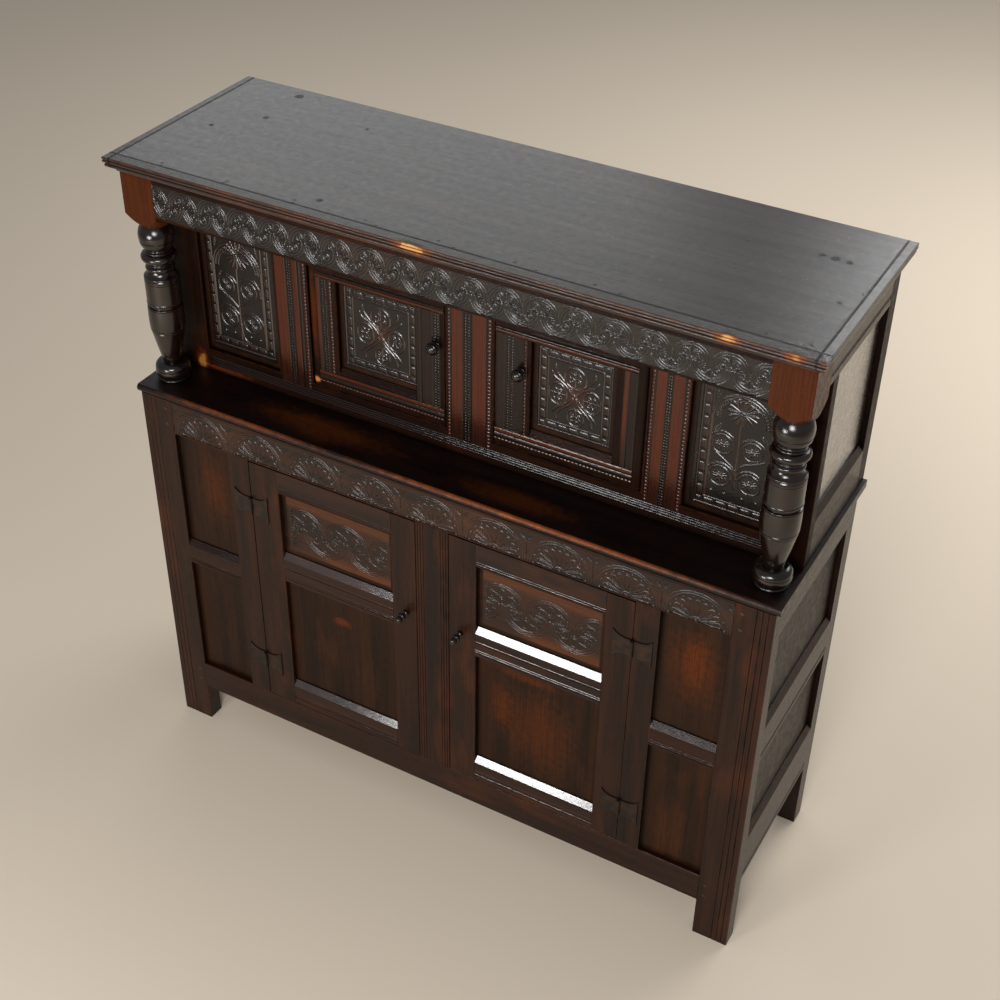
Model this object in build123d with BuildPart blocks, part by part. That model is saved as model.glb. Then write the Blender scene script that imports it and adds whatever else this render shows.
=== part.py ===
from build123d import *
import os

os.makedirs("parts", exist_ok=True)

# Court cupboard of joined oak, in millimetres. +Z is up, the front faces -Y, and the origin is
# on the floor under the middle of the whole. A "setback" is a distance behind the lower front.

# ---------------------------------------------------------------- driving dimensions: the whole
carcass_width = 1600.0
lower_height = 1026.0  # floor to the underside of the middle board
shelf_thickness = 19.0
top_underside = 1598.0
top_thickness = 20.0
top_back_setback = 525.0
top_back_overhang = 20.0  # top board behind the upper back
shelf_back_overhang = 3.0
lower_back_step = 17.0  # the lower back stands this far in front of the upper one
shelf_side_overhang = 9.0
shelf_nosing = 3.0

# ------------------------------------------------------------ driving dimensions: frame members
stile_thickness = 42.0
rail_thickness = 30.0
door_thickness = 24.0
side_rail_thickness = 28.0
rear_stile_size = 45.0
arris = 1.2  # the eased edge that a hand plane leaves
tenon_setback = 9.0  # face of a member to the front cheek of its tenon
tenon_thickness = 8.0
tenon_length = 34.0
short_tenon = 20.0
tenon_inset = 9.0  # the tenon is this much narrower than its rail, top and bottom
joint_clearance = 0.2
mortise_end_gap = 1.0
groove_setback = 11.5
groove_width = 7.0
groove_depth = 9.0
panel_clearance = 0.5  # each side of the tongue, so that the panel can move
panel_tongue = 8.0
panel_thickness = 10.0
feather_width = 26.0  # bevel on the back of a panel, down to its tongue
carving_depth = 4.0
board_thickness = 12.0
board_gap = 1.0
peg_radius = 4.0
peg_clearance = 0.1
peg_proud = 0.7
peg_length = 24.0
peg_edge = 24.0  # peg's axis from the edge of its rail

# --------------------------------------------------------------- driving dimensions: lower stage
stile_width = 87.0
bottom_rail_low = 115.0
bottom_rail_high = 198.0
lunette_rail_height = 91.0
bay_rail_low = 545.0
bay_rail_high = 615.0
centre_muntin_width = 85.0
bay_width = 157.0  # panel beside the doors, between its stile and its muntin
side_muntin_width = 56.0
lunette_margin_low = 4.0
lunette_margin_high = 8.0
side_bottom_rail_z = (195.0, 350.0)
side_middle_rail_z = (580.0, 695.0)
side_top_rail_height = 81.0
back_rail_height = 48.0
back_board_count = 7
floor_board_count = 6
floor_rebate = 10.0
scratch_places = (15.0, 27.0, 40.0)  # grooves scratched on a front stile, from its outer edge
scratch_width = 3.0
scratch_depth = 1.6
muntin_scratches = (6.0, 13.0, 20.0)  # and the same from the other edge of the middle muntin
shelf_round = 6.0
board_rebate = 10.0

# --------------------------------------------------------------- driving dimensions: lower doors
door_gap = 1.5
door_head_gap = 3.0
lower_hinge_stile_width = {"left": 80.0, "right": 66.0}  # made by eye: the two doors differ
lower_lock_stile_width = {"left": 64.0, "right": 70.0}
lower_door_top_rail = 62.0
lower_door_middle_low = 605.0
lower_door_middle_high = 690.0
lower_door_bottom_rail = 75.0
sill_height = 17.0
sill_depth = 9.0
reed_width = 6.0
reed_depth = 1.8
moulding_reeds = (4.5, 12.5)  # a bead and a broad reed, going up a rail's face
moulding_rise = 14.5  # plain wood under that moulding
middle_bead_rise = 40.0  # a lower door's middle rail has one more bead here
knob_projection = 37.0
knob_radius = 10.5
knob_inset = 29.0  # lower knob's axis from the door's lock edge
knob_height = 655.0
knob_shank_radius = 5.0
knob_shank_length = 17.0

# --------------------------------------------------------------------- driving dimensions: hinges
hinge_insets = (115.5, 127.0)  # a hinge's middle from the foot and the head of its door
hinge_leaf_length = 47.0
hinge_leaf_thickness = 2.5
hinge_waist = 46.0
hinge_flare = 15.0  # the outer end stands this much above and below the waist
hinge_strap = 14.0  # length of the leaf that keeps the waist's height
hinge_sweep = (21.0, 4.5)  # a point of the curved edge, beyond the strap and the waist
knuckle_radius = 4.2
knuckle_standoff = 0.3
knuckle_gap = 0.4
hinge_pin_radius = 2.0
running_clearance = 0.05
hinge_pin_head = 1.5

# --------------------------------------------------------------- driving dimensions: upper stage
post_size = 86.0
post_front_setback = 30.0
post_block_height = 118.0
shoulder_height = 32.0
post_neck_radius = 32.0
post_spigot_radius = 14.0
post_spigot_length = 14.0
frieze_height = 114.0
frieze_margin_low = 6.0
frieze_margin_high = 31.0
cupboard_setback = 140.0
upper_stile_width = {"left": 100.0, "right": 70.0}
upper_rail_thickness = 28.0
base_rail_height = 58.0
base_moulding_rise = 21.0
head_rail_height = 143.0
upper_panel_width = {"left": 208.0, "right": 207.0}
upper_centre_muntin = 121.0
upper_muntin_width = 93.0
upper_side_bottom_rail = 120.0
upper_side_top_rail = 98.0
carved_margin = 12.0
bead_inset = 8.0  # bead's middle from each edge of an upper muntin

# --------------------------------------------------------------- driving dimensions: upper doors
upper_hinge_stile_width = {"left": 74.0, "right": 70.0}
upper_lock_stile_width = {"left": 66.0, "right": 85.0}
upper_door_bottom_rail = 60.0
upper_door_top_rail = 64.0
upper_door_foot_gap = 2.5
pivot_inset = 9.0  # pivot's axis from the door's hinge edge and from its face
pivot_radius = 4.0
pivot_depth = 13.0
upper_knob_radius = 14.5
upper_knob_projection = 27.0
upper_knob_inset = {"left": 22.0, "right": 62.0}
upper_knob_rise = 27.0  # above the middle of its door

# ------------------------------------------------------------- driving dimensions: top and cornice
cornice_height = 38.0
cornice_front_projection = 28.0
cornice_side_projection = 20.0
top_peg_setback = 44.0
top_peg_margin = 112.0  # first and last peg from the ends of the top
top_peg_count = 9
top_peg_length = 46.0

# --------------------------------------------------------------------------------- derived sizes
half_width = carcass_width / 2
shelf_top = lower_height + shelf_thickness
top_surface = top_underside + top_thickness
upper_back_setback = top_back_setback - top_back_overhang
shelf_back_setback = upper_back_setback + shelf_back_overhang
lower_back_setback = upper_back_setback - lower_back_step
carcass_front = (knob_projection - top_back_setback) / 2
opening_edge = half_width - stile_width
muntin_outer = opening_edge - bay_width
door_opening_edge = muntin_outer - side_muntin_width
lunette_rail_low = lower_height - lunette_rail_height
side_rail_spans = (side_bottom_rail_z, side_middle_rail_z,
                   (lower_height - side_top_rail_height, lower_height))
lower_door_z = (bottom_rail_high + door_gap, lunette_rail_low - door_head_gap)
hinge_heights = (lower_door_z[0] + hinge_insets[0], lower_door_z[1] - hinge_insets[1])
shoulder_top = top_underside - post_block_height
shoulder_bottom = shoulder_top - shoulder_height
frieze_low = top_underside - frieze_height
head_rail_low = top_underside - head_rail_height
upper_side_top_rail_low = top_underside - upper_side_top_rail
cornice_low = top_surface - cornice_height
top_peg_pitch = (carcass_width - 2 * top_peg_margin) / (top_peg_count - 1)
tongue_setback = groove_setback + panel_clearance
tongue_thickness = groove_width - 2 * panel_clearance
post_axis_x = half_width - post_size / 2
post_axis_setback = post_front_setback + post_size / 2
post_back_setback = post_front_setback + post_size
upper_opening_low = shelf_top + base_rail_height
upper_opening = (upper_stile_width["left"] - half_width, half_width - upper_stile_width["right"])
upper_door_low = upper_opening_low + upper_door_foot_gap
upper_door_high = head_rail_low - upper_door_foot_gap
upper_knob_height = (upper_door_low + upper_door_high) / 2 + upper_knob_rise
cupboard_back = cupboard_setback + upper_rail_thickness
hinge_axis_y_setback = -(knuckle_radius + knuckle_standoff)
lower_back_rail_z = ((bottom_rail_high - back_rail_height, bottom_rail_high),
                     (lower_height - back_rail_height, lower_height))
upper_back_rail_z = ((shelf_top, shelf_top + back_rail_height),
                     (top_underside - back_rail_height, top_underside))
back_rail_setback = lower_back_setback - board_thickness - side_rail_thickness
reed_pair = (reed_width, reed_width)
SIDES = {"left": -1, "right": 1}


def y_at(setback):
    """Model Y of a point this far behind the lower front."""
    return carcass_front + setback


# --------------------------------------------------------------------------- profiles and solids
def extrude_profile(plane, steps, length, mode=Mode.ADD):
    """Extrude a closed profile. A step is a corner, or a (middle, end) pair for an arc."""
    with BuildSketch(plane) as profile:
        with BuildLine():
            here = steps[0]
            for step in steps[1:] + steps[:1]:
                if isinstance(step[0], tuple):
                    ThreePointArc(here, step[0], step[1])
                    here = step[1]
                else:
                    Line(here, step)
                    here = step
        make_face()
    extrude(profile.sketch, amount=length, mode=mode)


def move_steps(steps, place):
    """Carry each point of a profile through a placing rule."""
    return [tuple(place(p) for p in s) if isinstance(s[0], tuple) else place(s) for s in steps]


def span_box(x_span, y_span, z_span, mode=Mode.ADD):
    """A block between three pairs of limits."""
    size = [abs(s[1] - s[0]) for s in (x_span, y_span, z_span)]
    middle = [(s[0] + s[1]) / 2 for s in (x_span, y_span, z_span)]
    with Locations(tuple(middle)):
        Box(*size, mode=mode)


def reeds(start, widths):
    """Rising half-round reeds on a face, as (setback, height) steps."""
    steps = [(0.0, start), (reed_depth, start)]
    edge = start
    for width in widths:
        steps.append(((0.0, edge + width / 2), (reed_depth, edge + width)))
        edge += width
    return steps + [(0.0, edge)]


def rail_profile(low, high, thickness, face=(), groove_low=False, groove_high=False, sill=False):
    """Section of a rail as (setback, height), going up its face and down its back."""
    steps = [(arris, low), (0.0, low + arris)]
    steps += list(face)
    if sill:
        steps += [(0.0, high - sill_height), (sill_depth, high)]
    else:
        steps += [(0.0, high - arris), (arris, high)]
    groove = (groove_setback, groove_setback + groove_width)
    if groove_high:
        bottom = high - groove_depth
        steps += [(groove[0], high), (groove[0], bottom), (groove[1], bottom), (groove[1], high)]
    steps += [(thickness, high), (thickness, low)]
    if groove_low:
        top = low + groove_depth
        steps += [(groove[1], low), (groove[1], top), (groove[0], top), (groove[0], low)]
    return steps


def front_rail(x_span, setback, profile):
    """Run a rail's section along X between two shoulders."""
    steps = move_steps(profile, lambda p: (y_at(setback + p[0]), p[1]))
    extrude_profile(Plane.YZ.offset(x_span[0]), steps, x_span[1] - x_span[0])


def side_rail(side, y_span, profile):
    """Run a rail's section along Y, facing outwards on one side."""
    steps = move_steps(profile, lambda p: (side * (half_width - p[0]), p[1]))
    extrude_profile(Plane.XZ.offset(-y_span[1]), steps, y_span[1] - y_span[0])


def front_tenon(x_span, z_span, setback=0.0, grow=0.0, mode=Mode.ADD):
    """Tenon of a front frame or, with some growth, its mortise."""
    y_low = y_at(setback + tenon_setback)
    y_span = (y_low - grow, y_low + tenon_thickness + grow)
    span_box(x_span, y_span, (z_span[0] - grow, z_span[1] + grow), mode)


def front_mortise(x_span, z_span, setback=0.0):
    """Mortise for a tenon along X."""
    front_tenon(x_span, z_span, setback, joint_clearance, Mode.SUBTRACT)


def upright_tenon(x_span, z_span, setback=0.0, grow=0.0, mode=Mode.ADD):
    """Tenon on the end of an upright: the growth is sideways and across the cheeks."""
    y_low = y_at(setback + tenon_setback)
    y_span = (y_low - grow, y_low + tenon_thickness + grow)
    span_box((x_span[0] - grow, x_span[1] + grow), y_span, z_span, mode)


def side_tenon(side, y_span, z_span, grow=0.0, mode=Mode.ADD):
    """Tenon of a side frame or, with some growth, its mortise."""
    outer = half_width - tenon_setback + grow
    inner = half_width - tenon_setback - tenon_thickness - grow
    span_box((side * inner, side * outer), y_span, (z_span[0] - grow, z_span[1] + grow), mode)


def inset(span, amount=tenon_inset):
    """A pair of limits drawn in at both ends."""
    return (span[0] + amount, span[1] - amount)


def beyond(edge, direction, length):
    """Limits of what runs past an edge in one direction."""
    return tuple(sorted((edge, edge + direction * length)))


def bevelled_panel(origin, x_dir, inward, width, height):
    """Board with its front at the origin, thinned behind its edges to a flat tongue."""
    face = Plane(origin=origin, x_dir=x_dir, z_dir=inward)
    with BuildSketch(face) as plate:
        Rectangle(width, height)
    extrude(plate.sketch, amount=tongue_thickness)
    sections = []
    for depth, narrower in ((tongue_thickness, groove_depth), (panel_thickness, feather_width)):
        with BuildSketch(face.offset(depth)) as section:
            Rectangle(width - 2 * narrower, height - 2 * narrower)
        sections.append(section.sketch)
    loft(sections)


def framed_panel(x_span, z_span, setback=0.0, sunk=None):
    """Panel with its tongue in the grooves of a front frame, and a sunk field if carved."""
    wide, tall = inset(x_span, -panel_tongue), inset(z_span, -panel_tongue)
    front = y_at(setback + tongue_setback)
    bevelled_panel((sum(wide) / 2, front, sum(tall) / 2), (1, 0, 0), (0, 1, 0),
                   wide[1] - wide[0], tall[1] - tall[0])
    if sunk:
        span_box(sunk[0], (front, front + carving_depth), sunk[1], Mode.SUBTRACT)


def write(piece, label):
    """Name a finished piece and write it."""
    piece.part.label = label
    export_step(piece.part, f"parts/{label}.step")


def sunk_face(low, high):
    """Face steps of a rail whose middle is cut down for carving."""
    return [(0.0, low), (carving_depth, low), (carving_depth, high), (0.0, high)]


def groove_beside(x_edge, direction, z_span, setback=0.0):
    """Panel groove in the edge of an upright; direction points into the wood."""
    y_low = y_at(setback + groove_setback)
    x_span = beyond(x_edge, direction, groove_depth)
    span_box(x_span, (y_low, y_low + groove_width), inset(z_span, -groove_depth), Mode.SUBTRACT)


def groove_along(x_span, z_edge, direction, setback=0.0):
    """Panel groove over one bay of a long rail; direction points into the wood."""
    y_low = y_at(setback + groove_setback)
    z_span = beyond(z_edge, direction, groove_depth)
    span_box(inset(x_span, -groove_depth), (y_low, y_low + groove_width), z_span, Mode.SUBTRACT)


def side_groove(side, y_edge, direction, z_span):
    """Side panel's groove in the face of a corner stile."""
    outer = side * (half_width - groove_setback)
    inner = side * (half_width - groove_setback - groove_width)
    y_span = beyond(y_edge, direction, groove_depth)
    span_box((inner, outer), y_span, inset(z_span, -groove_depth), Mode.SUBTRACT)


def peg_holes(places, setback=0.0):
    """Holes for draw-bored pegs at (x, z) places of a front frame."""
    for x, z in places:
        mouth = Plane(origin=(x, y_at(setback - peg_proud), z), z_dir=(0, 1, 0))
        with Locations(mouth):
            Cylinder(peg_radius + peg_clearance, peg_length + peg_proud,
                     align=(Align.CENTER, Align.CENTER, Align.MIN), mode=Mode.SUBTRACT)


def side_panel(side, y_span, z_span):
    """Panel of a side frame."""
    wide, tall = inset(y_span, -panel_tongue), inset(z_span, -panel_tongue)
    bevelled_panel((side * (half_width - tongue_setback), sum(wide) / 2, sum(tall) / 2),
                   (0, 1, 0), (-side, 0, 0), wide[1] - wide[0], tall[1] - tall[0])


# -------------------------------------------------------------------- spans shared by the frames
lower_z = {
    "bottom": (bottom_rail_low, bottom_rail_high),
    "bay": (bay_rail_low, bay_rail_high),
    "lunette": (lunette_rail_low, lower_height),
}
bay_panel_spans = ((bottom_rail_high, bay_rail_low), (bay_rail_high, lunette_rail_low))
side_panel_spans = tuple((side_rail_spans[i][1], side_rail_spans[i + 1][0]) for i in (0, 1))
front_stile_back = y_at(stile_thickness)
rear_stile_front = y_at(lower_back_setback - rear_stile_size)
lower_side_run = (front_stile_back, rear_stile_front)
upper_stile_back = y_at(cupboard_back)
upper_rear_stile_front = y_at(upper_back_setback - rear_stile_size)
rear_stile_inner = half_width - rear_stile_size
board_edge = rear_stile_inner + board_rebate - board_gap / 2
upper_side_low = (shelf_top, shelf_top + upper_side_bottom_rail)
upper_side_high = (upper_side_top_rail_low, top_underside)
upper_side_panel_z = (upper_side_low[1], upper_side_high[0])
base_rail_z = (shelf_top, upper_opening_low)
head_rail_z = (head_rail_low, top_underside)
upper_muntin_z = (upper_opening_low, head_rail_low)
upper_panel_x = {
    "left": beyond(upper_opening[0], 1, upper_panel_width["left"]),
    "right": beyond(upper_opening[1], -1, upper_panel_width["right"]),
}
upper_muntin_x = {
    "left": beyond(upper_panel_x["left"][1], 1, upper_muntin_width),
    "right": beyond(upper_panel_x["right"][0], -1, upper_muntin_width),
}
upper_doors_x = (upper_muntin_x["left"][1], upper_muntin_x["right"][0])
centre_muntin_x = inset(upper_doors_x, (upper_doors_x[1] - upper_doors_x[0] - upper_centre_muntin) / 2)
upper_door_opening = {
    "left": (upper_doors_x[0], centre_muntin_x[0]),
    "right": (centre_muntin_x[1], upper_doors_x[1]),
}
top_peg_x = [(i - (top_peg_count - 1) / 2) * top_peg_pitch for i in range(top_peg_count)]
peg_line = opening_edge + tenon_length / 2
lower_pegs = [(s * peg_line, z) for s in (-1, 1) for rail in ("bottom", "lunette")
              for z in inset(lower_z[rail], peg_edge)]

# ----------------------------------------------------------------------------------- lower stage
for name, s in SIDES.items():
    with BuildPart() as front_stile:
        face = [(arris, 0.0)]
        for place in scratch_places:
            half = scratch_width / 2
            face += [(place - half, 0.0), (place, scratch_depth), (place + half, 0.0)]
        face += [(stile_width - arris, 0.0), (stile_width, arris), (stile_width, stile_thickness),
                 (0.0, stile_thickness), (0.0, arris)]
        outline = move_steps(face, lambda p: (s * (half_width - p[0]), y_at(p[1])))
        extrude_profile(Plane.XY, outline, lower_height)
        for z_span in lower_z.values():
            front_mortise(beyond(s * opening_edge, s, tenon_length + mortise_end_gap), inset(z_span))
        for z_span in bay_panel_spans:
            groove_beside(s * opening_edge, s, z_span)
        for z_span in side_rail_spans:
            side_tenon(s, beyond(front_stile_back, -1, short_tenon + mortise_end_gap),
                       inset(z_span), joint_clearance, Mode.SUBTRACT)
        for z_span in side_panel_spans:
            side_groove(s, front_stile_back, -1, z_span)
        peg_holes(lower_pegs)
    write(front_stile, f"{name}_front_stile")

    with BuildPart() as rear_stile:
        outer, inner = half_width, rear_stile_inner
        span_box((s * inner, s * outer), (rear_stile_front, y_at(lower_back_setback)),
                 (0.0, lower_height))
        for z_span in side_rail_spans:
            side_tenon(s, beyond(rear_stile_front, 1, short_tenon + mortise_end_gap),
                       inset(z_span), joint_clearance, Mode.SUBTRACT)
        for z_span in side_panel_spans:
            side_groove(s, rear_stile_front, 1, z_span)
        for z_span in lower_back_rail_z:
            front_mortise(beyond(s * inner, s, short_tenon + mortise_end_gap), inset(z_span),
                          lower_back_setback - board_thickness - side_rail_thickness)
        span_box(beyond(s * inner, s, board_rebate),
                 (y_at(lower_back_setback - board_thickness), y_at(lower_back_setback)),
                 (lower_back_rail_z[0][0], lower_height), Mode.SUBTRACT)
    write(rear_stile, f"{name}_rear_stile")

    with BuildPart() as muntin:
        x_span = tuple(sorted((s * door_opening_edge, s * muntin_outer)))
        span_box(x_span, (y_at(0.0), y_at(rail_thickness)), (bottom_rail_high, lunette_rail_low))
        for z_span in bay_panel_spans:
            groove_beside(s * muntin_outer, -s, z_span)
        front_mortise(beyond(s * muntin_outer, -s, short_tenon + mortise_end_gap),
                      inset(lower_z["bay"]))
        for edge, way in ((bottom_rail_high, -1), (lunette_rail_low, 1)):
            upright_tenon(inset(x_span), beyond(edge, way, short_tenon))
    write(muntin, f"{name}_muntin")

with BuildPart() as lunette_rail:
    carved = sunk_face(lunette_rail_low + lunette_margin_low, lower_height - lunette_margin_high)
    front_rail((-opening_edge, opening_edge), 0.0,
               rail_profile(lunette_rail_low, lower_height, rail_thickness, carved))
    for s in SIDES.values():
        front_tenon(beyond(s * opening_edge, s, tenon_length), inset(lower_z["lunette"]))
        bay = tuple(sorted((s * muntin_outer, s * opening_edge)))
        groove_along(bay, lunette_rail_low, 1)
        muntin_x = tuple(sorted((s * door_opening_edge, s * muntin_outer)))
        upright_tenon(inset(muntin_x), beyond(lunette_rail_low, 1, short_tenon + mortise_end_gap),
                      0.0, joint_clearance, Mode.SUBTRACT)
    upright_tenon(inset((-centre_muntin_width / 2, centre_muntin_width / 2)),
                  beyond(lunette_rail_low, 1, short_tenon + mortise_end_gap),
                  0.0, joint_clearance, Mode.SUBTRACT)
    peg_holes(lower_pegs)
write(lunette_rail, "lunette_rail")

with BuildPart() as bottom_rail:
    front_rail((-opening_edge, opening_edge), 0.0,
               rail_profile(bottom_rail_low, bottom_rail_high, rail_thickness))
    for s in SIDES.values():
        front_tenon(beyond(s * opening_edge, s, tenon_length), inset(lower_z["bottom"]))
        bay = tuple(sorted((s * muntin_outer, s * opening_edge)))
        groove_along(bay, bottom_rail_high, -1)
        muntin_x = tuple(sorted((s * door_opening_edge, s * muntin_outer)))
        upright_tenon(inset(muntin_x), beyond(bottom_rail_high, -1, short_tenon + mortise_end_gap),
                      0.0, joint_clearance, Mode.SUBTRACT)
    upright_tenon(inset((-centre_muntin_width / 2, centre_muntin_width / 2)),
                  beyond(bottom_rail_high, -1, short_tenon + mortise_end_gap),
                  0.0, joint_clearance, Mode.SUBTRACT)
    span_box((-opening_edge, opening_edge), (y_at(rail_thickness - floor_rebate), y_at(rail_thickness)),
             (bottom_rail_high - board_thickness, bottom_rail_high), Mode.SUBTRACT)
    peg_holes(lower_pegs)
write(bottom_rail, "bottom_front_rail")

with BuildPart() as centre_muntin:
    half = centre_muntin_width / 2
    face = [(arris, 0.0)]
    for place in muntin_scratches + tuple(centre_muntin_width - p for p in muntin_scratches[::-1]):
        face += [(place - scratch_width / 2, 0.0), (place, scratch_depth),
                 (place + scratch_width / 2, 0.0)]
    face += [(centre_muntin_width - arris, 0.0), (centre_muntin_width, arris),
             (centre_muntin_width, rail_thickness), (0.0, rail_thickness), (0.0, arris)]
    outline = move_steps(face, lambda p: (p[0] - half, y_at(p[1])))
    extrude_profile(Plane.XY.offset(bottom_rail_high), outline, lunette_rail_low - bottom_rail_high)
    for edge, way in ((bottom_rail_high, -1), (lunette_rail_low, 1)):
        upright_tenon(inset((-half, half)), beyond(edge, way, short_tenon))
write(centre_muntin, "centre_muntin")

with BuildPart() as bay_rails:
    for s in SIDES.values():
        x_span = tuple(sorted((s * muntin_outer, s * opening_edge)))
        mouldings = reeds(bay_rail_low + reed_width, reed_pair)
        front_rail(x_span, 0.0, rail_profile(bay_rail_low, bay_rail_high, rail_thickness, mouldings,
                                             True, True, True))
        front_tenon(beyond(s * opening_edge, s, tenon_length), inset(lower_z["bay"]))
        front_tenon(beyond(s * muntin_outer, -s, short_tenon), inset(lower_z["bay"]))
write(bay_rails, "bay_rails")

with BuildPart() as bay_panels:
    for s in SIDES.values():
        for z_span in bay_panel_spans:
            framed_panel(tuple(sorted((s * muntin_outer, s * opening_edge))), z_span)
write(bay_panels, "bay_panels")

with BuildPart() as lower_side_rails:
    for s in SIDES.values():
        for i, (low, high) in enumerate(side_rail_spans):
            mouldings = reeds(low + 2 * reed_width, reed_pair) if i < 2 else ()
            side_rail(s, lower_side_run, rail_profile(low, high, side_rail_thickness, mouldings,
                                                      i > 0, i < 2, i < 2))
            for edge, way in zip(lower_side_run, (-1, 1)):
                side_tenon(s, beyond(edge, way, short_tenon), inset((low, high)))
write(lower_side_rails, "lower_side_rails")

with BuildPart() as lower_side_panels:
    for s in SIDES.values():
        for z_span in side_panel_spans:
            side_panel(s, lower_side_run, z_span)
write(lower_side_panels, "lower_side_panels")

with BuildPart() as back_rails:
    for back, spans in ((lower_back_setback, lower_back_rail_z), (upper_back_setback, upper_back_rail_z)):
        setback = back - board_thickness - side_rail_thickness
        for low, high in spans:
            front_rail((-rear_stile_inner, rear_stile_inner), setback,
                       [(0.0, low), (0.0, high), (side_rail_thickness, high), (side_rail_thickness, low)])
            for s in SIDES.values():
                front_tenon(beyond(s * rear_stile_inner, s, short_tenon), inset((low, high)), setback)
    span_box((-rear_stile_inner, rear_stile_inner),
             (y_at(back_rail_setback), y_at(back_rail_setback + floor_rebate)),
             (bottom_rail_high - board_thickness, bottom_rail_high), Mode.SUBTRACT)
write(back_rails, "back_rails")

for name, back, z_span in (("lower", lower_back_setback, (lower_back_rail_z[0][0], lower_height)),
                           ("upper", upper_back_setback, (shelf_top, top_underside))):
    with BuildPart() as back_boards:
        width = 2 * board_edge / back_board_count
        for i in range(back_board_count):
            low = -board_edge + i * width
            span_box((low + board_gap / 2, low + width - board_gap / 2),
                     (y_at(back - board_thickness), y_at(back)), z_span)
    write(back_boards, f"{name}_back_boards")

with BuildPart() as floor_boards:
    reach = half_width - side_rail_thickness - board_gap
    width = 2 * reach / floor_board_count
    for i in range(floor_board_count):
        low = -reach + i * width
        span_box((low + board_gap / 2, low + width - board_gap / 2),
                 (y_at(rail_thickness - floor_rebate), y_at(back_rail_setback + floor_rebate)),
                 (bottom_rail_high - board_thickness, bottom_rail_high))
    for s in SIDES.values():
        span_box(beyond(s * (opening_edge - board_gap), s, stile_width),
                 (y_at(0.0), front_stile_back + board_gap),
                 (bottom_rail_low, bottom_rail_high), Mode.SUBTRACT)
        span_box(beyond(s * (rear_stile_inner - board_gap), s, rear_stile_size),
                 (rear_stile_front - board_gap, y_at(lower_back_setback)),
                 (bottom_rail_low, bottom_rail_high), Mode.SUBTRACT)
write(floor_boards, "floor_boards")

with BuildPart() as shelf_board:
    front, back = -shelf_nosing, shelf_back_setback
    steps = [(shelf_round, lower_height), ((0.0, lower_height + shelf_thickness / 2),
             (shelf_round, shelf_top)), (back - front, shelf_top), (back - front, lower_height)]
    outline = move_steps(steps, lambda p: (y_at(front + p[0]), p[1]))
    reach = half_width + shelf_side_overhang
    extrude_profile(Plane.YZ.offset(-reach), outline, 2 * reach)
    for s in SIDES.values():
        with Locations((s * post_axis_x, y_at(post_axis_setback), shelf_top)):
            Cylinder(post_spigot_radius + peg_clearance, post_spigot_length + mortise_end_gap,
                     align=(Align.CENTER, Align.CENTER, Align.MAX), mode=Mode.SUBTRACT)
write(shelf_board, "shelf_board")

# ---------------------------------------------------------------------------------- lower doors
lower_door_rails = (
    (lower_door_z[0], lower_door_z[0] + lower_door_bottom_rail),
    (lower_door_middle_low, lower_door_middle_high),
    (lower_door_z[1] - lower_door_top_rail, lower_door_z[1]),
)


def turned_knob(x, z, setback, steps, shank_length):
    """Knob turned about an axis along Y: steps are (radius, distance in front of the face)."""
    plane = Plane(origin=(x, y_at(setback), z), x_dir=(1, 0, 0), z_dir=(0, 0, 1))
    with BuildSketch(plane) as section:
        with BuildLine():
            start = (0.0, shank_length)
            here = (knob_shank_radius, shank_length)
            Line(start, here)
            for step in steps:
                if isinstance(step[0], tuple):
                    middle, end = step
                    ThreePointArc(here, (middle[0], -middle[1]), (end[0], -end[1]))
                    here = (end[0], -end[1])
                else:
                    Line(here, (step[0], -step[1]))
                    here = (step[0], -step[1])
            Line(here, start)
        make_face()
    revolve(section.sketch, axis=Axis((x, 0, z), (0, 1, 0)))


def knob_hole(x, z, setback, shank_length):
    """Hole in a lock stile for a knob's shank."""
    mouth = Plane(origin=(x, y_at(setback), z), z_dir=(0, 1, 0))
    with Locations(mouth):
        Cylinder(knob_shank_radius + peg_clearance, shank_length + mortise_end_gap,
                 align=(Align.CENTER, Align.CENTER, Align.MIN), mode=Mode.SUBTRACT)


def door_stile(x_edge, inward, width, z_span, rails, setback, edge_round=0.0):
    """Upright of a door, from its outer edge inwards, with mortises and panel grooves."""
    steps = [(width - arris, 0.0), (width, arris), (width, door_thickness), (0.0, door_thickness)]
    if edge_round:
        slant = edge_round * (1 - 0.5 ** 0.5)
        steps += [(0.0, edge_round), ((slant, slant), (edge_round, 0.0))]
    else:
        steps += [(0.0, arris), (arris, 0.0)]
    outline = move_steps(steps, lambda p: (x_edge + inward * p[0], y_at(setback + p[1])))
    extrude_profile(Plane.XY.offset(z_span[0]), outline, z_span[1] - z_span[0])
    inner = x_edge + inward * width
    for rail in rails:
        front_mortise(beyond(inner, -inward, short_tenon + mortise_end_gap), inset(rail), setback)
    for below, above in zip(rails[:-1], rails[1:]):
        groove_beside(inner, -inward, (below[1], above[0]), setback)


def door_rails(x_span, rails, faces, setback):
    """Rails of a door between its stiles, with their tenons; a face is (mouldings, sill)."""
    for i, (span, (mouldings, sill)) in enumerate(zip(rails, faces)):
        front_rail(x_span, setback, rail_profile(span[0], span[1], door_thickness, mouldings,
                                                 i > 0, i < len(rails) - 1, sill))
        for edge, way in zip(x_span, (-1, 1)):
            front_tenon(beyond(edge, way, short_tenon), inset(span), setback)


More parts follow.
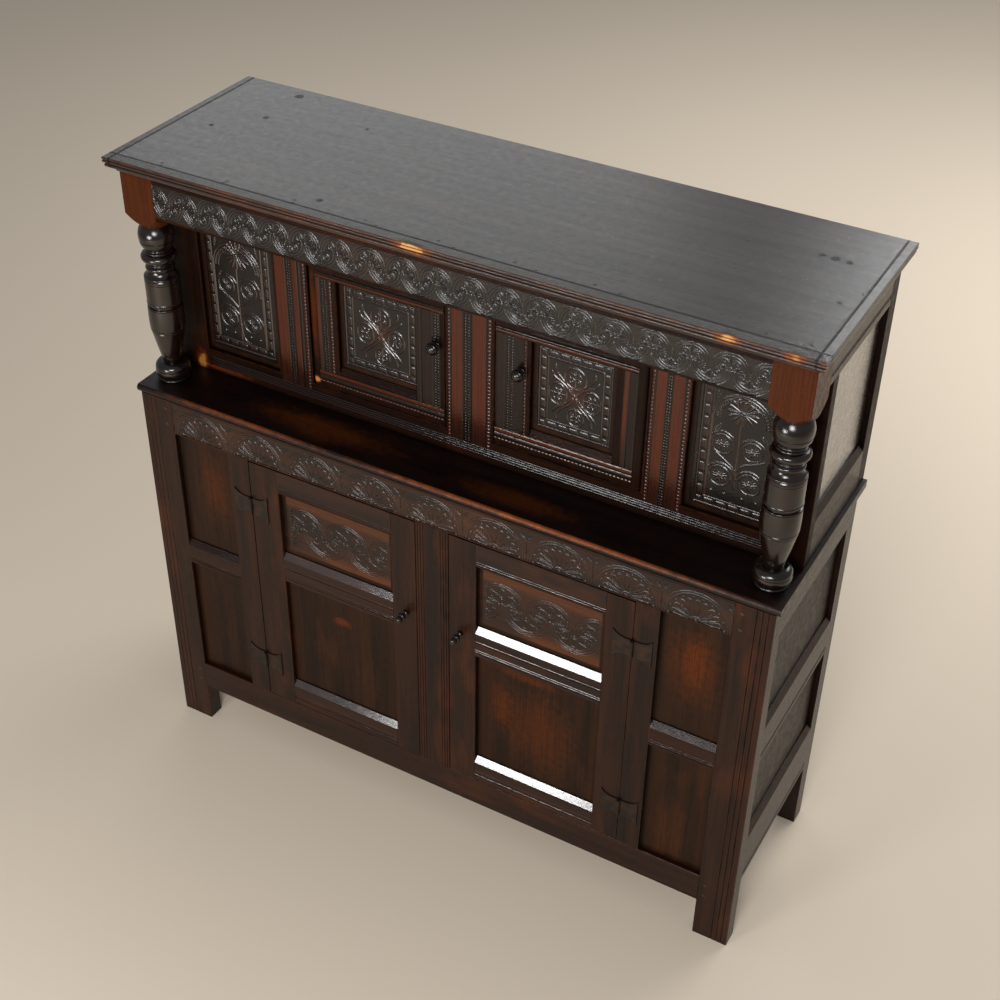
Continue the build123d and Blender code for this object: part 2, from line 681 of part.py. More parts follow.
lower_knob_turning = [
    (knob_shank_radius, 0.0),
    (knob_radius * 0.62, 0.0),
    ((knob_radius * 0.76, 3.0), (knob_radius * 0.62, 6.0)),
    ((knob_radius * 0.42, 10.0), (knob_radius * 0.62, 14.0)),
    (knob_radius * 0.95, 15.5),
    ((knob_radius, 19.0), (knob_radius * 0.8, 23.0)),
    (knob_radius * 0.66, 24.0),
    ((knob_radius * 0.8, 28.5), (knob_radius * 0.7, 32.0)),
    ((knob_radius * 0.45, knob_projection - 1.0), (knob_radius * 0.15, knob_projection)),
    (0.0, knob_projection),
]

for name, s in SIDES.items():
    edge = s * (door_opening_edge - door_gap)
    lock = s * (centre_muntin_width / 2 + door_gap)
    hinge_width, lock_width = lower_hinge_stile_width[name], lower_lock_stile_width[name]
    inner = tuple(sorted((edge - s * hinge_width, lock + s * lock_width)))
    knob_x = lock + s * knob_inset
    with BuildPart() as stiles:
        door_stile(edge, -s, hinge_width, lower_door_z, lower_door_rails, 0.0)
        door_stile(lock, s, lock_width, lower_door_z, lower_door_rails, 0.0)
        knob_hole(knob_x, knob_height, 0.0, knob_shank_length)
    write(stiles, f"{name}_lower_door_stiles")

    with BuildPart() as rails:
        low, middle, high = lower_door_rails
        middle_face = (reeds(middle[0] + 1.5 * reed_width, reed_pair)
                       + reeds(middle[0] + middle_bead_rise, reed_pair[:1]))
        faces = ((reeds(low[0] + moulding_rise, moulding_reeds), True), (middle_face, True),
                 (reeds(high[0] + reed_width / 2, reed_pair), False))
        door_rails(inner, lower_door_rails, faces, 0.0)
    write(rails, f"{name}_lower_door_rails")

    with BuildPart() as plain_panel:
        framed_panel(inner, (low[1], middle[0]))
    write(plain_panel, f"{name}_lower_door_plain_panel")

    with BuildPart() as carved_panel:
        z_span = (middle[1], high[0])
        framed_panel(inner, z_span, 0.0, (inset(inner, carved_margin), inset(z_span, carved_margin)))
    write(carved_panel, f"{name}_lower_door_carved_panel")

    with BuildPart() as knob:
        turned_knob(knob_x, knob_height, 0.0, lower_knob_turning, knob_shank_length)
    write(knob, f"{name}_lower_door_knob")

# ---------------------------------------------------------------------- hinges of the lower doors
knuckle_height = hinge_waist / 3


def hinge_leaf(axis_x, outward, z, knuckle_places):
    """Butterfly leaf flat on a face, with its own knuckles and room for the other leaf's."""
    low, high = z - hinge_waist / 2, z + hinge_waist / 2
    sweep_x, sweep_z = hinge_strap + hinge_sweep[0], hinge_sweep[1]
    steps = [
        (0.0, low), (0.0, high), (hinge_strap, high),
        ((sweep_x, high + sweep_z), (hinge_leaf_length, high + hinge_flare)),
        (hinge_leaf_length, low - hinge_flare),
        ((sweep_x, low - sweep_z), (hinge_strap, low)),
    ]
    outline = move_steps(steps, lambda p: (axis_x + outward * p[0], p[1]))
    extrude_profile(Plane.XZ.offset(-y_at(0.0)), outline, hinge_leaf_thickness)
    axis_y = y_at(hinge_axis_y_setback)
    with Locations((axis_x, axis_y, z)):
        Cylinder(knuckle_radius + knuckle_gap, hinge_waist + 2 * knuckle_gap, mode=Mode.SUBTRACT)
    for i in knuckle_places:
        knuckle_z = inset((low + i * knuckle_height, low + (i + 1) * knuckle_height), knuckle_gap / 2)
        with Locations((axis_x, axis_y, knuckle_z[0])):
            Cylinder(knuckle_radius, knuckle_z[1] - knuckle_z[0],
                     align=(Align.CENTER, Align.CENTER, Align.MIN))
        span_box(beyond(axis_x, outward, 2 * knuckle_radius),
                 (y_at(-hinge_leaf_thickness), y_at(-knuckle_standoff)), knuckle_z)
    with Locations((axis_x, axis_y, z)):
        Cylinder(hinge_pin_radius + running_clearance, hinge_waist + 2 * knuckle_gap,
                 mode=Mode.SUBTRACT)


hinge_axis_x = door_opening_edge - door_gap / 2
with BuildPart() as fixed_leaves:
    for s in SIDES.values():
        for z in hinge_heights:
            hinge_leaf(s * hinge_axis_x, s, z, (0, 2))
write(fixed_leaves, "fixed_hinge_leaves")

for name, s in SIDES.items():
    with BuildPart() as moving_leaves:
        for z in hinge_heights:
            hinge_leaf(s * hinge_axis_x, -s, z, (1,))
    write(moving_leaves, f"{name}_moving_hinge_leaves")

with BuildPart() as hinge_pins:
    for s in SIDES.values():
        for z in hinge_heights:
            with Locations((s * hinge_axis_x, y_at(hinge_axis_y_setback), z + hinge_waist / 2)):
                Cylinder(hinge_pin_radius, hinge_waist, align=(Align.CENTER, Align.CENTER, Align.MAX))
                Cylinder(hinge_pin_radius * 1.7, hinge_pin_head,
                         align=(Align.CENTER, Align.CENTER, Align.MIN))
write(hinge_pins, "hinge_pins")

# ---------------------------------------------------------------- turned posts of the upper stage
bulb, disc, drum, foot = 40.0, 41.0, 40.0, 41.0  # the largest radii of the turning, going down
quirk = 1.0  # depth of the fine scored lines
neck, collar = 28.0, 30.5  # the neck under the disc, and the narrow beads round it
ankle = 20.5  # the thinnest turning, over the foot
pattern_length = 403.0  # the turning's pattern is this long, and is stretched to the post
post_turning = [  # (radius, height above the foot of the pattern), going down from the shoulder
    ((bulb - 0.5, 387.0), (bulb, 365.0)),  # bulb, scored round its middle
    (bulb - 1.6, 363.5), (bulb - 0.4, 362.0),
    ((bulb - 3.5, 351.0), (neck + 1.5, 343.0)),
    ((collar, 340.5), (neck + 1.0, 338.0)),  # narrow bead
    ((collar + 1.5, 335.0), (collar + 1.0, 332.5)),
    ((disc, 321.5), (disc - 8.0, 311.0)),  # disc
    (neck + 0.5, 310.5),
    ((collar, 308.5), (neck + 0.5, 306.5)),  # two narrow beads
    ((collar, 304.5), (neck + 0.5, 302.5)),
    (neck + 1.5, 301.0),
    ((collar + 3.0, 296.0), (collar + 1.5, 290.0)),  # shoulder of the upper drum
    (collar, 289.0),
    ((collar + 2.5, 281.0), (drum - 2.5, 275.5)),
    ((drum - 0.3, 273.0), (drum - 1.2, 270.5)),
    (drum, 268.0), (drum, 266.5), (drum - quirk, 265.7), (drum, 265.0),
    (drum, 261.0), (drum - quirk, 260.2), (drum, 259.4),
    (drum, 210.0), ((drum + 0.8, 206.5), (drum - quirk, 203.0)),  # and its foot
    (drum - 3.5, 201.5), (drum - 3.5, 197.5), (drum - 0.5, 196.5),
    ((drum + 0.4, 195.0), (drum - 0.8, 193.4)),
    (drum + 0.6, 192.2),
    ((drum + 1.4, 165.0), (drum + 0.6, 141.0)),  # lower drum, slightly bellied
    (drum - 0.6, 139.8), (drum + 0.2, 138.6), (drum - 0.5, 134.0), (drum - 1.7, 132.8),
    (drum - 1.4, 131.6),
    ((ankle + 9.5, 89.5), (ankle, 48.0)),  # long taper
    (ankle + 4.0, 47.2),
    ((foot - 4.2, 41.5), (foot - 0.6, 30.5)),  # foot, scored round its shoulder
    (foot - 2.0, 29.6), (foot - 0.5, 28.6),
    ((foot, 19.0), (foot - 5.0, 7.0)),
    (foot - 6.0, 6.0),
    ((foot - 4.4, 3.0), (foot - 6.0, 0.0)),  # ring on the shelf
]


def post_point(point):
    """A point of the turning's pattern, at its radius and height on the post."""
    return (point[0], shelf_top + point[1] * (shoulder_bottom - shelf_top) / pattern_length)


for name, s in SIDES.items():
    axis = (s * post_axis_x, y_at(post_axis_setback), 0.0)
    with BuildPart() as post:
        with Locations((axis[0], axis[1], frieze_low - post_size / 2)):
            Box(post_size, post_size, top_underside - frieze_low + post_size / 2,
                align=(Align.CENTER, Align.CENTER, Align.MIN))
        with BuildSketch(Plane(origin=axis, x_dir=(1, 0, 0), z_dir=(0, -1, 0))) as shoulder:
            with BuildLine():
                corner = post_size * 0.5 ** 0.5 + arris
                Polyline((0.0, shoulder_bottom), (post_neck_radius, shoulder_bottom),
                         (corner, shoulder_top), (corner, top_surface),
                         (0.0, top_surface), close=True)
            make_face()
        revolve(shoulder.sketch, axis=Axis(axis, (0, 0, 1)), mode=Mode.INTERSECT)
        with BuildSketch(Plane(origin=axis, x_dir=(1, 0, 0), z_dir=(0, -1, 0))) as turning:
            with BuildLine():
                here = (post_neck_radius, shoulder_bottom)
                Line((0.0, shoulder_bottom), here)
                for step in move_steps(post_turning, post_point):
                    if isinstance(step[0], tuple):
                        middle, end = step
                        ThreePointArc(here, middle, end)
                        here = end
                    else:
                        Line(here, step)
                        here = step
                Polyline(here, (post_spigot_radius, shelf_top),
                         (post_spigot_radius, shelf_top - post_spigot_length),
                         (0.0, shelf_top - post_spigot_length), (0.0, shoulder_bottom))
            make_face()
        revolve(turning.sketch, axis=Axis(axis, (0, 0, 1)))
        front_mortise(beyond(s * (half_width - post_size), s, tenon_length + mortise_end_gap),
                      inset((frieze_low, top_underside)), post_front_setback)
        side_tenon(s, beyond(y_at(post_back_setback), -1, short_tenon + mortise_end_gap),
                   inset(upper_side_high), joint_clearance, Mode.SUBTRACT)
    write(post, f"{name}_turned_post")

with BuildPart() as frieze_rail:
    reach = half_width - post_size
    carved = sunk_face(frieze_low + frieze_margin_low, top_underside - frieze_margin_high)
    front_rail((-reach, reach), post_front_setback,
               rail_profile(frieze_low, top_underside, rail_thickness, carved))
    for s in SIDES.values():
        front_tenon(beyond(s * reach, s, tenon_length), inset((frieze_low, top_underside)),
                    post_front_setback)
    for x in top_peg_x:
        with Locations((x, y_at(top_peg_setback), top_underside)):
            Cylinder(peg_radius + peg_clearance, top_peg_length - top_thickness + mortise_end_gap,
                     align=(Align.CENTER, Align.CENTER, Align.MAX), mode=Mode.SUBTRACT)
write(frieze_rail, "frieze_rail")

# -------------------------------------------------------------------- recessed upper cupboard
for name, s in SIDES.items():
    with BuildPart() as upper_front_stile:
        width, inner = upper_stile_width[name], upper_opening[0 if name == "left" else 1]
        face = [(arris, 0.0), (width - arris, 0.0), (width, arris),
                (width, upper_rail_thickness), (0.0, upper_rail_thickness), (0.0, arris)]
        outline = move_steps(face, lambda p: (s * (half_width - p[0]), y_at(cupboard_setback + p[1])))
        extrude_profile(Plane.XY.offset(shelf_top), outline, top_underside - shelf_top)
        for z_span in (base_rail_z, head_rail_z):
            front_mortise(beyond(inner, s, tenon_length + mortise_end_gap), inset(z_span),
                          cupboard_setback)
        groove_beside(inner, s, upper_muntin_z, cupboard_setback)
        side_tenon(s, beyond(upper_stile_back, -1, short_tenon + mortise_end_gap),
                   inset(upper_side_low), joint_clearance, Mode.SUBTRACT)
        side_groove(s, upper_stile_back, -1, upper_side_panel_z)
        outer_strip = (s * (half_width - side_rail_thickness), s * half_width)
        span_box(outer_strip, (y_at(cupboard_setback), upper_stile_back),
                 (upper_side_high[0], top_underside), Mode.SUBTRACT)
    write(upper_front_stile, f"{name}_upper_front_stile")

with BuildPart() as upper_rear_stiles:
    for s in SIDES.values():
        span_box((s * rear_stile_inner, s * half_width),
                 (upper_rear_stile_front, y_at(upper_back_setback)), (shelf_top, top_underside))
        for z_span in (upper_side_low, upper_side_high):
            side_tenon(s, beyond(upper_rear_stile_front, 1, short_tenon + mortise_end_gap),
                       inset(z_span), joint_clearance, Mode.SUBTRACT)
        side_groove(s, upper_rear_stile_front, 1, upper_side_panel_z)
        for z_span in upper_back_rail_z:
            front_mortise(beyond(s * rear_stile_inner, s, short_tenon + mortise_end_gap),
                          inset(z_span), upper_back_setback - board_thickness - side_rail_thickness)
        span_box(beyond(s * rear_stile_inner, s, board_rebate),
                 (y_at(upper_back_setback - board_thickness), y_at(upper_back_setback)),
                 (shelf_top, top_underside), Mode.SUBTRACT)
write(upper_rear_stiles, "upper_rear_stiles")

pivots = {}
for name, s in SIDES.items():
    hinge_edge = upper_door_opening[name][0 if name == "left" else 1]
    pivots[name] = (hinge_edge - s * (door_gap + pivot_inset), y_at(cupboard_setback + pivot_inset))

for label, z_span, edge, into, mouldings in (
        ("base_rail", base_rail_z, upper_opening_low, -1,
         reeds(shelf_top + base_moulding_rise, moulding_reeds)),
        ("head_rail", head_rail_z, head_rail_low, 1, ())):
    with BuildPart() as long_rail:
        front_rail(upper_opening, cupboard_setback,
                   rail_profile(z_span[0], z_span[1], upper_rail_thickness, mouldings))
        for (name, s), end in zip(SIDES.items(), upper_opening):
            front_tenon(beyond(end, s, tenon_length), inset(z_span), cupboard_setback)
            groove_along(upper_panel_x[name], edge, into, cupboard_setback)
            with Locations((pivots[name][0], pivots[name][1], edge)):
                Cylinder(pivot_radius + running_clearance, pivot_depth + mortise_end_gap,
                         align=(Align.CENTER, Align.CENTER, Align.MIN if into > 0 else Align.MAX),
                         mode=Mode.SUBTRACT)
        for x_span in (centre_muntin_x, upper_muntin_x["left"], upper_muntin_x["right"]):
            upright_tenon(inset(x_span), beyond(edge, into, short_tenon + mortise_end_gap),
                          cupboard_setback, joint_clearance, Mode.SUBTRACT)
    write(long_rail, label)

for label, x_span, panel_edge, into in (
        ("upper_centre_muntin", centre_muntin_x, None, 0),
        ("left_upper_muntin", upper_muntin_x["left"], upper_muntin_x["left"][0], 1),
        ("right_upper_muntin", upper_muntin_x["right"], upper_muntin_x["right"][1], -1)):
    with BuildPart() as upright:
        width = x_span[1] - x_span[0]
        face = [(arris, 0.0)]
        for place in (bead_inset, width - bead_inset):
            face += [(place - scratch_width, 0.0), (place - scratch_width, scratch_depth),
                     ((place, 0.0), (place + scratch_width, scratch_depth)),
                     (place + scratch_width, 0.0)]
        face += [(width - arris, 0.0), (width, arris), (width, upper_rail_thickness),
                 (0.0, upper_rail_thickness), (0.0, arris)]
        outline = move_steps(face, lambda p: (x_span[0] + p[0], y_at(cupboard_setback + p[1])))
        extrude_profile(Plane.XY.offset(upper_opening_low), outline,
                        head_rail_low - upper_opening_low)
        if panel_edge is not None:
            groove_beside(panel_edge, into, upper_muntin_z, cupboard_setback)
        for edge, way in ((upper_opening_low, -1), (head_rail_low, 1)):
            upright_tenon(inset(x_span), beyond(edge, way, short_tenon), cupboard_setback)
    write(upright, label)

for name in SIDES:
    with BuildPart() as carved_panel:
        x_span = upper_panel_x[name]
        framed_panel(x_span, upper_muntin_z, cupboard_setback,
                     (inset(x_span, carved_margin), inset(upper_muntin_z, carved_margin)))
    write(carved_panel, f"{name}_carved_panel")

with BuildPart() as upper_side_rails:
    for s in SIDES.values():
        low_run = (upper_stile_back, upper_rear_stile_front)
        high_run = (y_at(post_back_setback), upper_rear_stile_front)
        side_rail(s, low_run, rail_profile(*upper_side_low, side_rail_thickness,
                                           reeds(upper_side_low[0] + 2 * reed_width, reed_pair),
                                           False, True, True))
        side_rail(s, high_run, rail_profile(*upper_side_high, side_rail_thickness,
                                            reeds(upper_side_high[0] + 3 * reed_width, reed_pair)))
        outer = s * (half_width - groove_setback)
        inner = s * (half_width - groove_setback - groove_width)
        span_box((inner, outer), inset(low_run, -groove_depth),
                 beyond(upper_side_high[0], 1, groove_depth), Mode.SUBTRACT)
        for run, z_span in ((low_run, upper_side_low), (high_run, upper_side_high)):
            for edge, way in zip(run, (-1, 1)):
                side_tenon(s, beyond(edge, way, short_tenon), inset(z_span))
write(upper_side_rails, "upper_side_rails")

with BuildPart() as upper_side_panels:
    for s in SIDES.values():
        side_panel(s, (upper_stile_back, upper_rear_stile_front), upper_side_panel_z)
write(upper_side_panels, "upper_side_panels")

# ----------------------------------------------------------------------------------- upper doors
upper_door_z = (upper_door_low, upper_door_high)
upper_door_rails = ((upper_door_z[0], upper_door_z[0] + upper_door_bottom_rail),
                    (upper_door_z[1] - upper_door_top_rail, upper_door_z[1]))
upper_knob_turning = [
    (knob_shank_radius, 0.0),
    (upper_knob_radius * 0.72, 0.0),
    ((upper_knob_radius * 0.8, 1.8), (upper_knob_radius * 0.66, 3.5)),
    ((upper_knob_radius * 0.42, 7.0), (upper_knob_radius * 0.6, 10.5)),
    (upper_knob_radius * 0.86, 12.0),
    ((upper_knob_radius, 16.5), (upper_knob_radius * 0.8, 21.5)),
    ((upper_knob_radius * 0.48, upper_knob_projection - 1.2),
     (upper_knob_radius * 0.15, upper_knob_projection)),
    (0.0, upper_knob_projection),
]

for name, s in SIDES.items():
    low_x, high_x = inset(upper_door_opening[name], door_gap)
    edge, lock = (low_x, high_x) if name == "left" else (high_x, low_x)
    hinge_width, lock_width = upper_hinge_stile_width[name], upper_lock_stile_width[name]
    inner = tuple(sorted((edge - s * hinge_width, lock + s * lock_width)))
    knob_x = lock + s * upper_knob_inset[name]
    with BuildPart() as stiles:
        door_stile(edge, -s, hinge_width, upper_door_z, upper_door_rails, cupboard_setback,
                   pivot_inset)
        door_stile(lock, s, lock_width, upper_door_z, upper_door_rails, cupboard_setback)
        knob_hole(knob_x, upper_knob_height, cupboard_setback, knob_shank_length)
        for z, way in ((upper_door_z[0], Align.MIN), (upper_door_z[1], Align.MAX)):
            with Locations((pivots[name][0], pivots[name][1], z)):
                Cylinder(pivot_radius + running_clearance, pivot_depth + mortise_end_gap,
                         align=(Align.CENTER, Align.CENTER, way), mode=Mode.SUBTRACT)
    write(stiles, f"{name}_upper_door_stiles")

    with BuildPart() as rails:
        low, high = upper_door_rails
        faces = ((reeds(low[0] + moulding_rise, moulding_reeds), True),
                 (reeds(high[0] + reed_width, moulding_reeds), False))
        door_rails(inner, upper_door_rails, faces, cupboard_setback)
    write(rails, f"{name}_upper_door_rails")

    with BuildPart() as carved_panel:
        z_span = (upper_door_rails[0][1], upper_door_rails[1][0])
        framed_panel(inner, z_span, cupboard_setback,
                     (inset(inner, carved_margin), inset(z_span, carved_margin)))
    write(carved_panel, f"{name}_upper_door_panel")

    with BuildPart() as knob:
        turned_knob(knob_x, upper_knob_height, cupboard_setback, upper_knob_turning,
                    knob_shank_length)
    write(knob, f"{name}_upper_door_knob")

with BuildPart() as door_pivots:
    for name in SIDES:
        for edge, way in ((upper_opening_low, 1), (head_rail_low, -1)):
            low, high = sorted((edge - way * pivot_depth,
                                edge + way * (upper_door_foot_gap + pivot_depth)))
            with Locations((pivots[name][0], pivots[name][1], low)):
                Cylinder(pivot_radius, high - low, align=(Align.CENTER, Align.CENTER, Align.MIN))
write(door_pivots, "upper_door_pivots")

# ------------------------------------------------------------------------------ top and cornice
with BuildPart() as top_board:
    span_box((-half_width, half_width), (y_at(post_front_setback), y_at(top_back_setback)),
             (top_underside, top_surface))
    for x in top_peg_x:
        with Locations((x, y_at(top_peg_setback), top_surface)):
            Cylinder(peg_radius + peg_clearance, top_thickness,
                     align=(Align.CENTER, Align.CENTER, Align.MAX), mode=Mode.SUBTRACT)
write(top_board, "top_board")


cornice_mouldings = [  # (reach, height) as shares of the cornice's projection and height
    (0.0, 0.0), (0.16, 0.0),
    ((0.28, 0.18), (0.62, 0.29)), (0.62, 0.36),  # cove and fillet
    ((0.88, 0.47), (0.66, 0.59)), (0.66, 0.64),  # ovolo and fillet
    (0.92, 0.64), ((1.0, 0.73), (0.92, 0.82)),  # bead
    (0.9, 0.85), (1.0, 0.87),  # quirk under the fascia
]


def cornice_section(projection):
    """Moulding as (reach from the carcass, height), from its foot to its top edge."""
    steps = move_steps(cornice_mouldings,
                       lambda p: (projection * p[0], cornice_low + cornice_height * p[1]))
    return steps + [(projection, top_surface - arris), (projection - arris, top_surface),
                    (0.0, top_surface)]


front_face = y_at(post_front_setback)
cornice_front = y_at(post_front_setback - cornice_front_projection)
with BuildPart() as cornice:
    reach = half_width + cornice_side_projection
    outline = move_steps(cornice_section(cornice_front_projection),
                         lambda p: (front_face - p[0], p[1]))
    extrude_profile(Plane.YZ.offset(-reach), outline, 2 * reach)
    for s in SIDES.values():
        mitre = [(s * half_width, front_face), (s * reach, cornice_front), (s * reach, front_face)]
        extrude_profile(Plane.XY.offset(cornice_low), mitre, top_surface - cornice_low, Mode.SUBTRACT)
write(cornice, "cornice_front_moulding")

with BuildPart() as cornice_ends:
    for s in SIDES.values():
        outline = move_steps(cornice_section(cornice_side_projection),
                             lambda p: (s * (half_width + p[0]), p[1]))
        extrude_profile(Plane.XZ.offset(-y_at(top_back_setback)), outline,
                        y_at(top_back_setback) - cornice_front)
        mitre = [(s * half_width, front_face), (s * reach, cornice_front),
                 (s * half_width, cornice_front)]
        extrude_profile(Plane.XY.offset(cornice_low), mitre, top_surface - cornice_low, Mode.SUBTRACT)
write(cornice_ends, "cornice_end_mouldings")

with BuildPart() as oak_pegs:
    for x, z in lower_pegs:
        with Locations(Plane(origin=(x, y_at(-peg_proud), z), z_dir=(0, 1, 0))):
            Cylinder(peg_radius, peg_length, align=(Align.CENTER, Align.CENTER, Align.MIN))
    for x in top_peg_x:
        with Locations((x, y_at(top_peg_setback), top_surface)):
            Cylinder(peg_radius, top_peg_length, align=(Align.CENTER, Align.CENTER, Align.MAX))
write(oak_pegs, "oak_pegs")
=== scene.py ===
import math

import bpy
import numpy as np
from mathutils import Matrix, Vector


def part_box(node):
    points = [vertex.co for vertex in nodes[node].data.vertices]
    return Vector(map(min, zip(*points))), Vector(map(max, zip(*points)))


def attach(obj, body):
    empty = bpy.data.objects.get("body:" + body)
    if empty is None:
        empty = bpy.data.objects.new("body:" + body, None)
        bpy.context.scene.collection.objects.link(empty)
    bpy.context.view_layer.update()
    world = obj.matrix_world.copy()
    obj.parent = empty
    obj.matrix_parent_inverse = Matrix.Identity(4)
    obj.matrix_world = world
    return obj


# Court cupboard of joined and carved oak, some three and a half centuries old: dark with wax and
# smoke, red brown where hands and cloths have rubbed it. Metres; the front faces -Y.

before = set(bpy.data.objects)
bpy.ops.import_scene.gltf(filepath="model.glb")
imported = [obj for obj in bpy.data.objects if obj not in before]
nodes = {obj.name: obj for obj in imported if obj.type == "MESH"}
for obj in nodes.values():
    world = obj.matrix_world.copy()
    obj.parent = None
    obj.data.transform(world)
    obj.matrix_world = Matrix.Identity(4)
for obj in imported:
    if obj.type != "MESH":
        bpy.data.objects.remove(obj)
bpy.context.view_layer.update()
MM = 0.001


# ------------------------------------------------------------------------------ camera and light
CAMERA_PLACE = (1.47205, -2.60208, 3.09133)  # above the right-hand front corner
CAMERA_TURN = (53.174, -0.767, 29.441)  # degrees about X, Y and Z
CAMERA_LENS = 57.454


def linear(hex_colour):
    """Scene-linear colour of an sRGB hex value."""
    channels = [int(hex_colour[i:i + 2], 16) / 255 for i in (1, 3, 5)]
    return tuple(c / 12.92 if c <= 0.04045 else ((c + 0.055) / 1.055) ** 2.4
                 for c in channels) + (1,)


def add(tree, kind, inputs=None, **settings):
    """Add a node with its settings. An input takes another node's output or a constant."""
    node = tree.nodes.new("ShaderNode" + kind)
    for name, value in settings.items():
        setattr(node, name, value)
    for socket, value in (inputs or {}).items():
        if isinstance(value, bpy.types.NodeSocket):
            tree.links.new(value, node.inputs[socket])
        else:
            node.inputs[socket].default_value = value
    return node


def set_camera():
    """Camera that looks down on the front and the right side."""
    bpy.ops.object.camera_add(location=CAMERA_PLACE,
                              rotation=[math.radians(a) for a in CAMERA_TURN])
    camera = bpy.context.object
    camera.data.lens = CAMERA_LENS
    camera.data.sensor_width = 36
    camera.data.clip_end = 60
    bpy.context.scene.camera = camera


def add_softbox(name, place, target, size, watts, colour="#ffffff"):
    """Rectangular studio lamp that looks at a target."""
    bpy.ops.object.light_add(type="AREA", location=place)
    lamp = bpy.context.object
    lamp.name = name
    lamp.data.shape = "RECTANGLE"
    lamp.data.size, lamp.data.size_y = size
    lamp.data.energy = watts
    lamp.data.color = linear(colour)[:3]
    lamp.rotation_euler = (Vector(target) - Vector(place)).to_track_quat("-Z", "Y").to_euler()


def set_studio():
    """Soft lamps, a pale room and a plain pale floor."""
    add_softbox("big softbox", (1.15, -3.6, 2.5), (0.1, 0, 1.0), (1.3, 1.1), 84)
    add_softbox("low window", (-1.0, -3.7, 1.0), (0.1, 0, 0.6), (0.9, 0.85), 52)
    add_softbox("light on the floor behind", (1.5, 3.3, 3.4), (1.5, 3.4, 0), (3.0, 2.0), 110)
    add_softbox("pale wall", (-2.6, 3.6, 3.4), (0, 0, 1.2), (3.0, 2.4), 18)
    world = bpy.data.worlds.new("pale room")
    bpy.context.scene.world = world
    world.use_nodes = True
    tree = world.node_tree
    tree.nodes.clear()
    light = add(tree, "Background", {"Color": linear("#f4f6fa"), "Strength": 0.30})
    add(tree, "OutputWorld", {"Surface": light.outputs[0]})

    bpy.ops.mesh.primitive_plane_add(size=24, location=(0, 0, 0))
    floor = bpy.context.object
    floor.name = "studio_floor"
    material = bpy.data.materials.new("pale matt floor paint")  # even and chalky, with no gloss
    material.use_nodes = True
    shader = material.node_tree.nodes["Principled BSDF"]
    shader.inputs["Base Color"].default_value = linear("#e6d7c2")
    shader.inputs["Roughness"].default_value = 0.9
    shader.inputs["Specular IOR Level"].default_value = 0.1
    floor.data.materials.append(material)


# ------------------------------------------------------------------------------------- materials
# The whole is riven oak, waxed for centuries, so one oak serves for all of it, with a finish for
# each kind of piece: how dark it is, where it is rubbed, and how much of the wax is left.
GRAIN_LENGTH, GRAIN_WIDTH = 0.150, 0.0026  # a streak of riven oak, along and across the grain
BAND_LENGTH, BAND_WIDTH = 0.600, 0.0280    # broad bands of darker and paler wood
PORE_LENGTH, PORE_WIDTH = 0.012, 0.0005    # open pores; drawn a little coarse, so that they show
CLOUD_LENGTH, CLOUD_WIDTH = 0.30, 0.10     # soft clouds that say where the wood is rubbed
DENT_SCALE = 60.0                          # soft dents of long use, 60 to the metre
ARRIS_WEAR = 0.0022                        # an arris is rubbed this far down each face
PAINTED_SHADE_REACH = 0.014                        # painted shade reaches this far out of a corner
JOINT_CORE, JOINT_EDGE = 0.0016, 0.0036    # black core and soft edge of a joint, from its middle
SILL_RISE = 0.47                           # Z of the normal of the doors' sloping sills


def stretched(tree, place, axis, along, across, **settings):
    """Noise with streaks of this size along one axis."""
    scale = tuple(1 / along if i == axis else 1 / across for i in range(3))
    streaks = add(tree, "Mapping", {"Vector": place, "Scale": scale})
    noise = add(tree, "TexNoise", {"Vector": streaks.outputs[0], "Scale": 1.0, **settings})
    return noise.outputs["Fac"]


def ramp(tree, value, low, high, start=0.0, end=1.0, **settings):
    """Value that runs from start to end while another runs from low to high."""
    node = add(tree, "MapRange", {0: value, 1: low, 2: high, 3: start, 4: end}, **settings)
    return node.outputs[0]


def reckon(tree, operation, first, second, **settings):
    """Sum of two values, or what else the operation says."""
    return add(tree, "Math", {0: first, 1: second}, operation=operation, **settings).outputs[0]


def tint(tree, amount, colour, other):
    """Colour that turns into another by an amount."""
    colours = {6: colour if isinstance(colour, bpy.types.NodeSocket) else linear(colour),
               7: other if isinstance(other, bpy.types.NodeSocket) else linear(other)}
    return add(tree, "Mix", {0: amount, **colours}, data_type="RGBA").outputs[2]


def away_from(tree, value, middle):
    """How far a value is from a middle one."""
    return reckon(tree, "ABSOLUTE", reckon(tree, "SUBTRACT", value, middle), 0)


def facing_up(tree):
    """Z of the face's normal."""
    return add(tree, "SeparateXYZ", {0: add(tree, "NewGeometry").outputs["Normal"]}).outputs["Z"]


def combined(tree, operation, values):
    """Some values taken together by one operation; None when there are none."""
    whole = None
    for value in values:
        whole = value if whole is None else reckon(tree, operation, whole, value)
    return whole


def bare_places(tree, place, dents, patches):
    """Soft patches that have lost their wax, with edges that the dents make ragged."""
    spots = []
    for centre, radii, strength in patches:
        away = add(tree, "VectorMath", {0: place, 1: centre}, operation="SUBTRACT").outputs[0]
        away = add(tree, "VectorMath", {0: away, 1: radii}, operation="DIVIDE").outputs[0]
        away = add(tree, "VectorMath", {0: away}, operation="LENGTH").outputs["Value"]
        away = add(tree, "Math", {0: dents, 1: 0.9, 2: away}, operation="MULTIPLY_ADD").outputs[0]
        spots.append(ramp(tree, away, 1.45, 0.6, 0.0, strength, interpolation_type="SMOOTHSTEP"))
    return combined(tree, "ADD", spots)


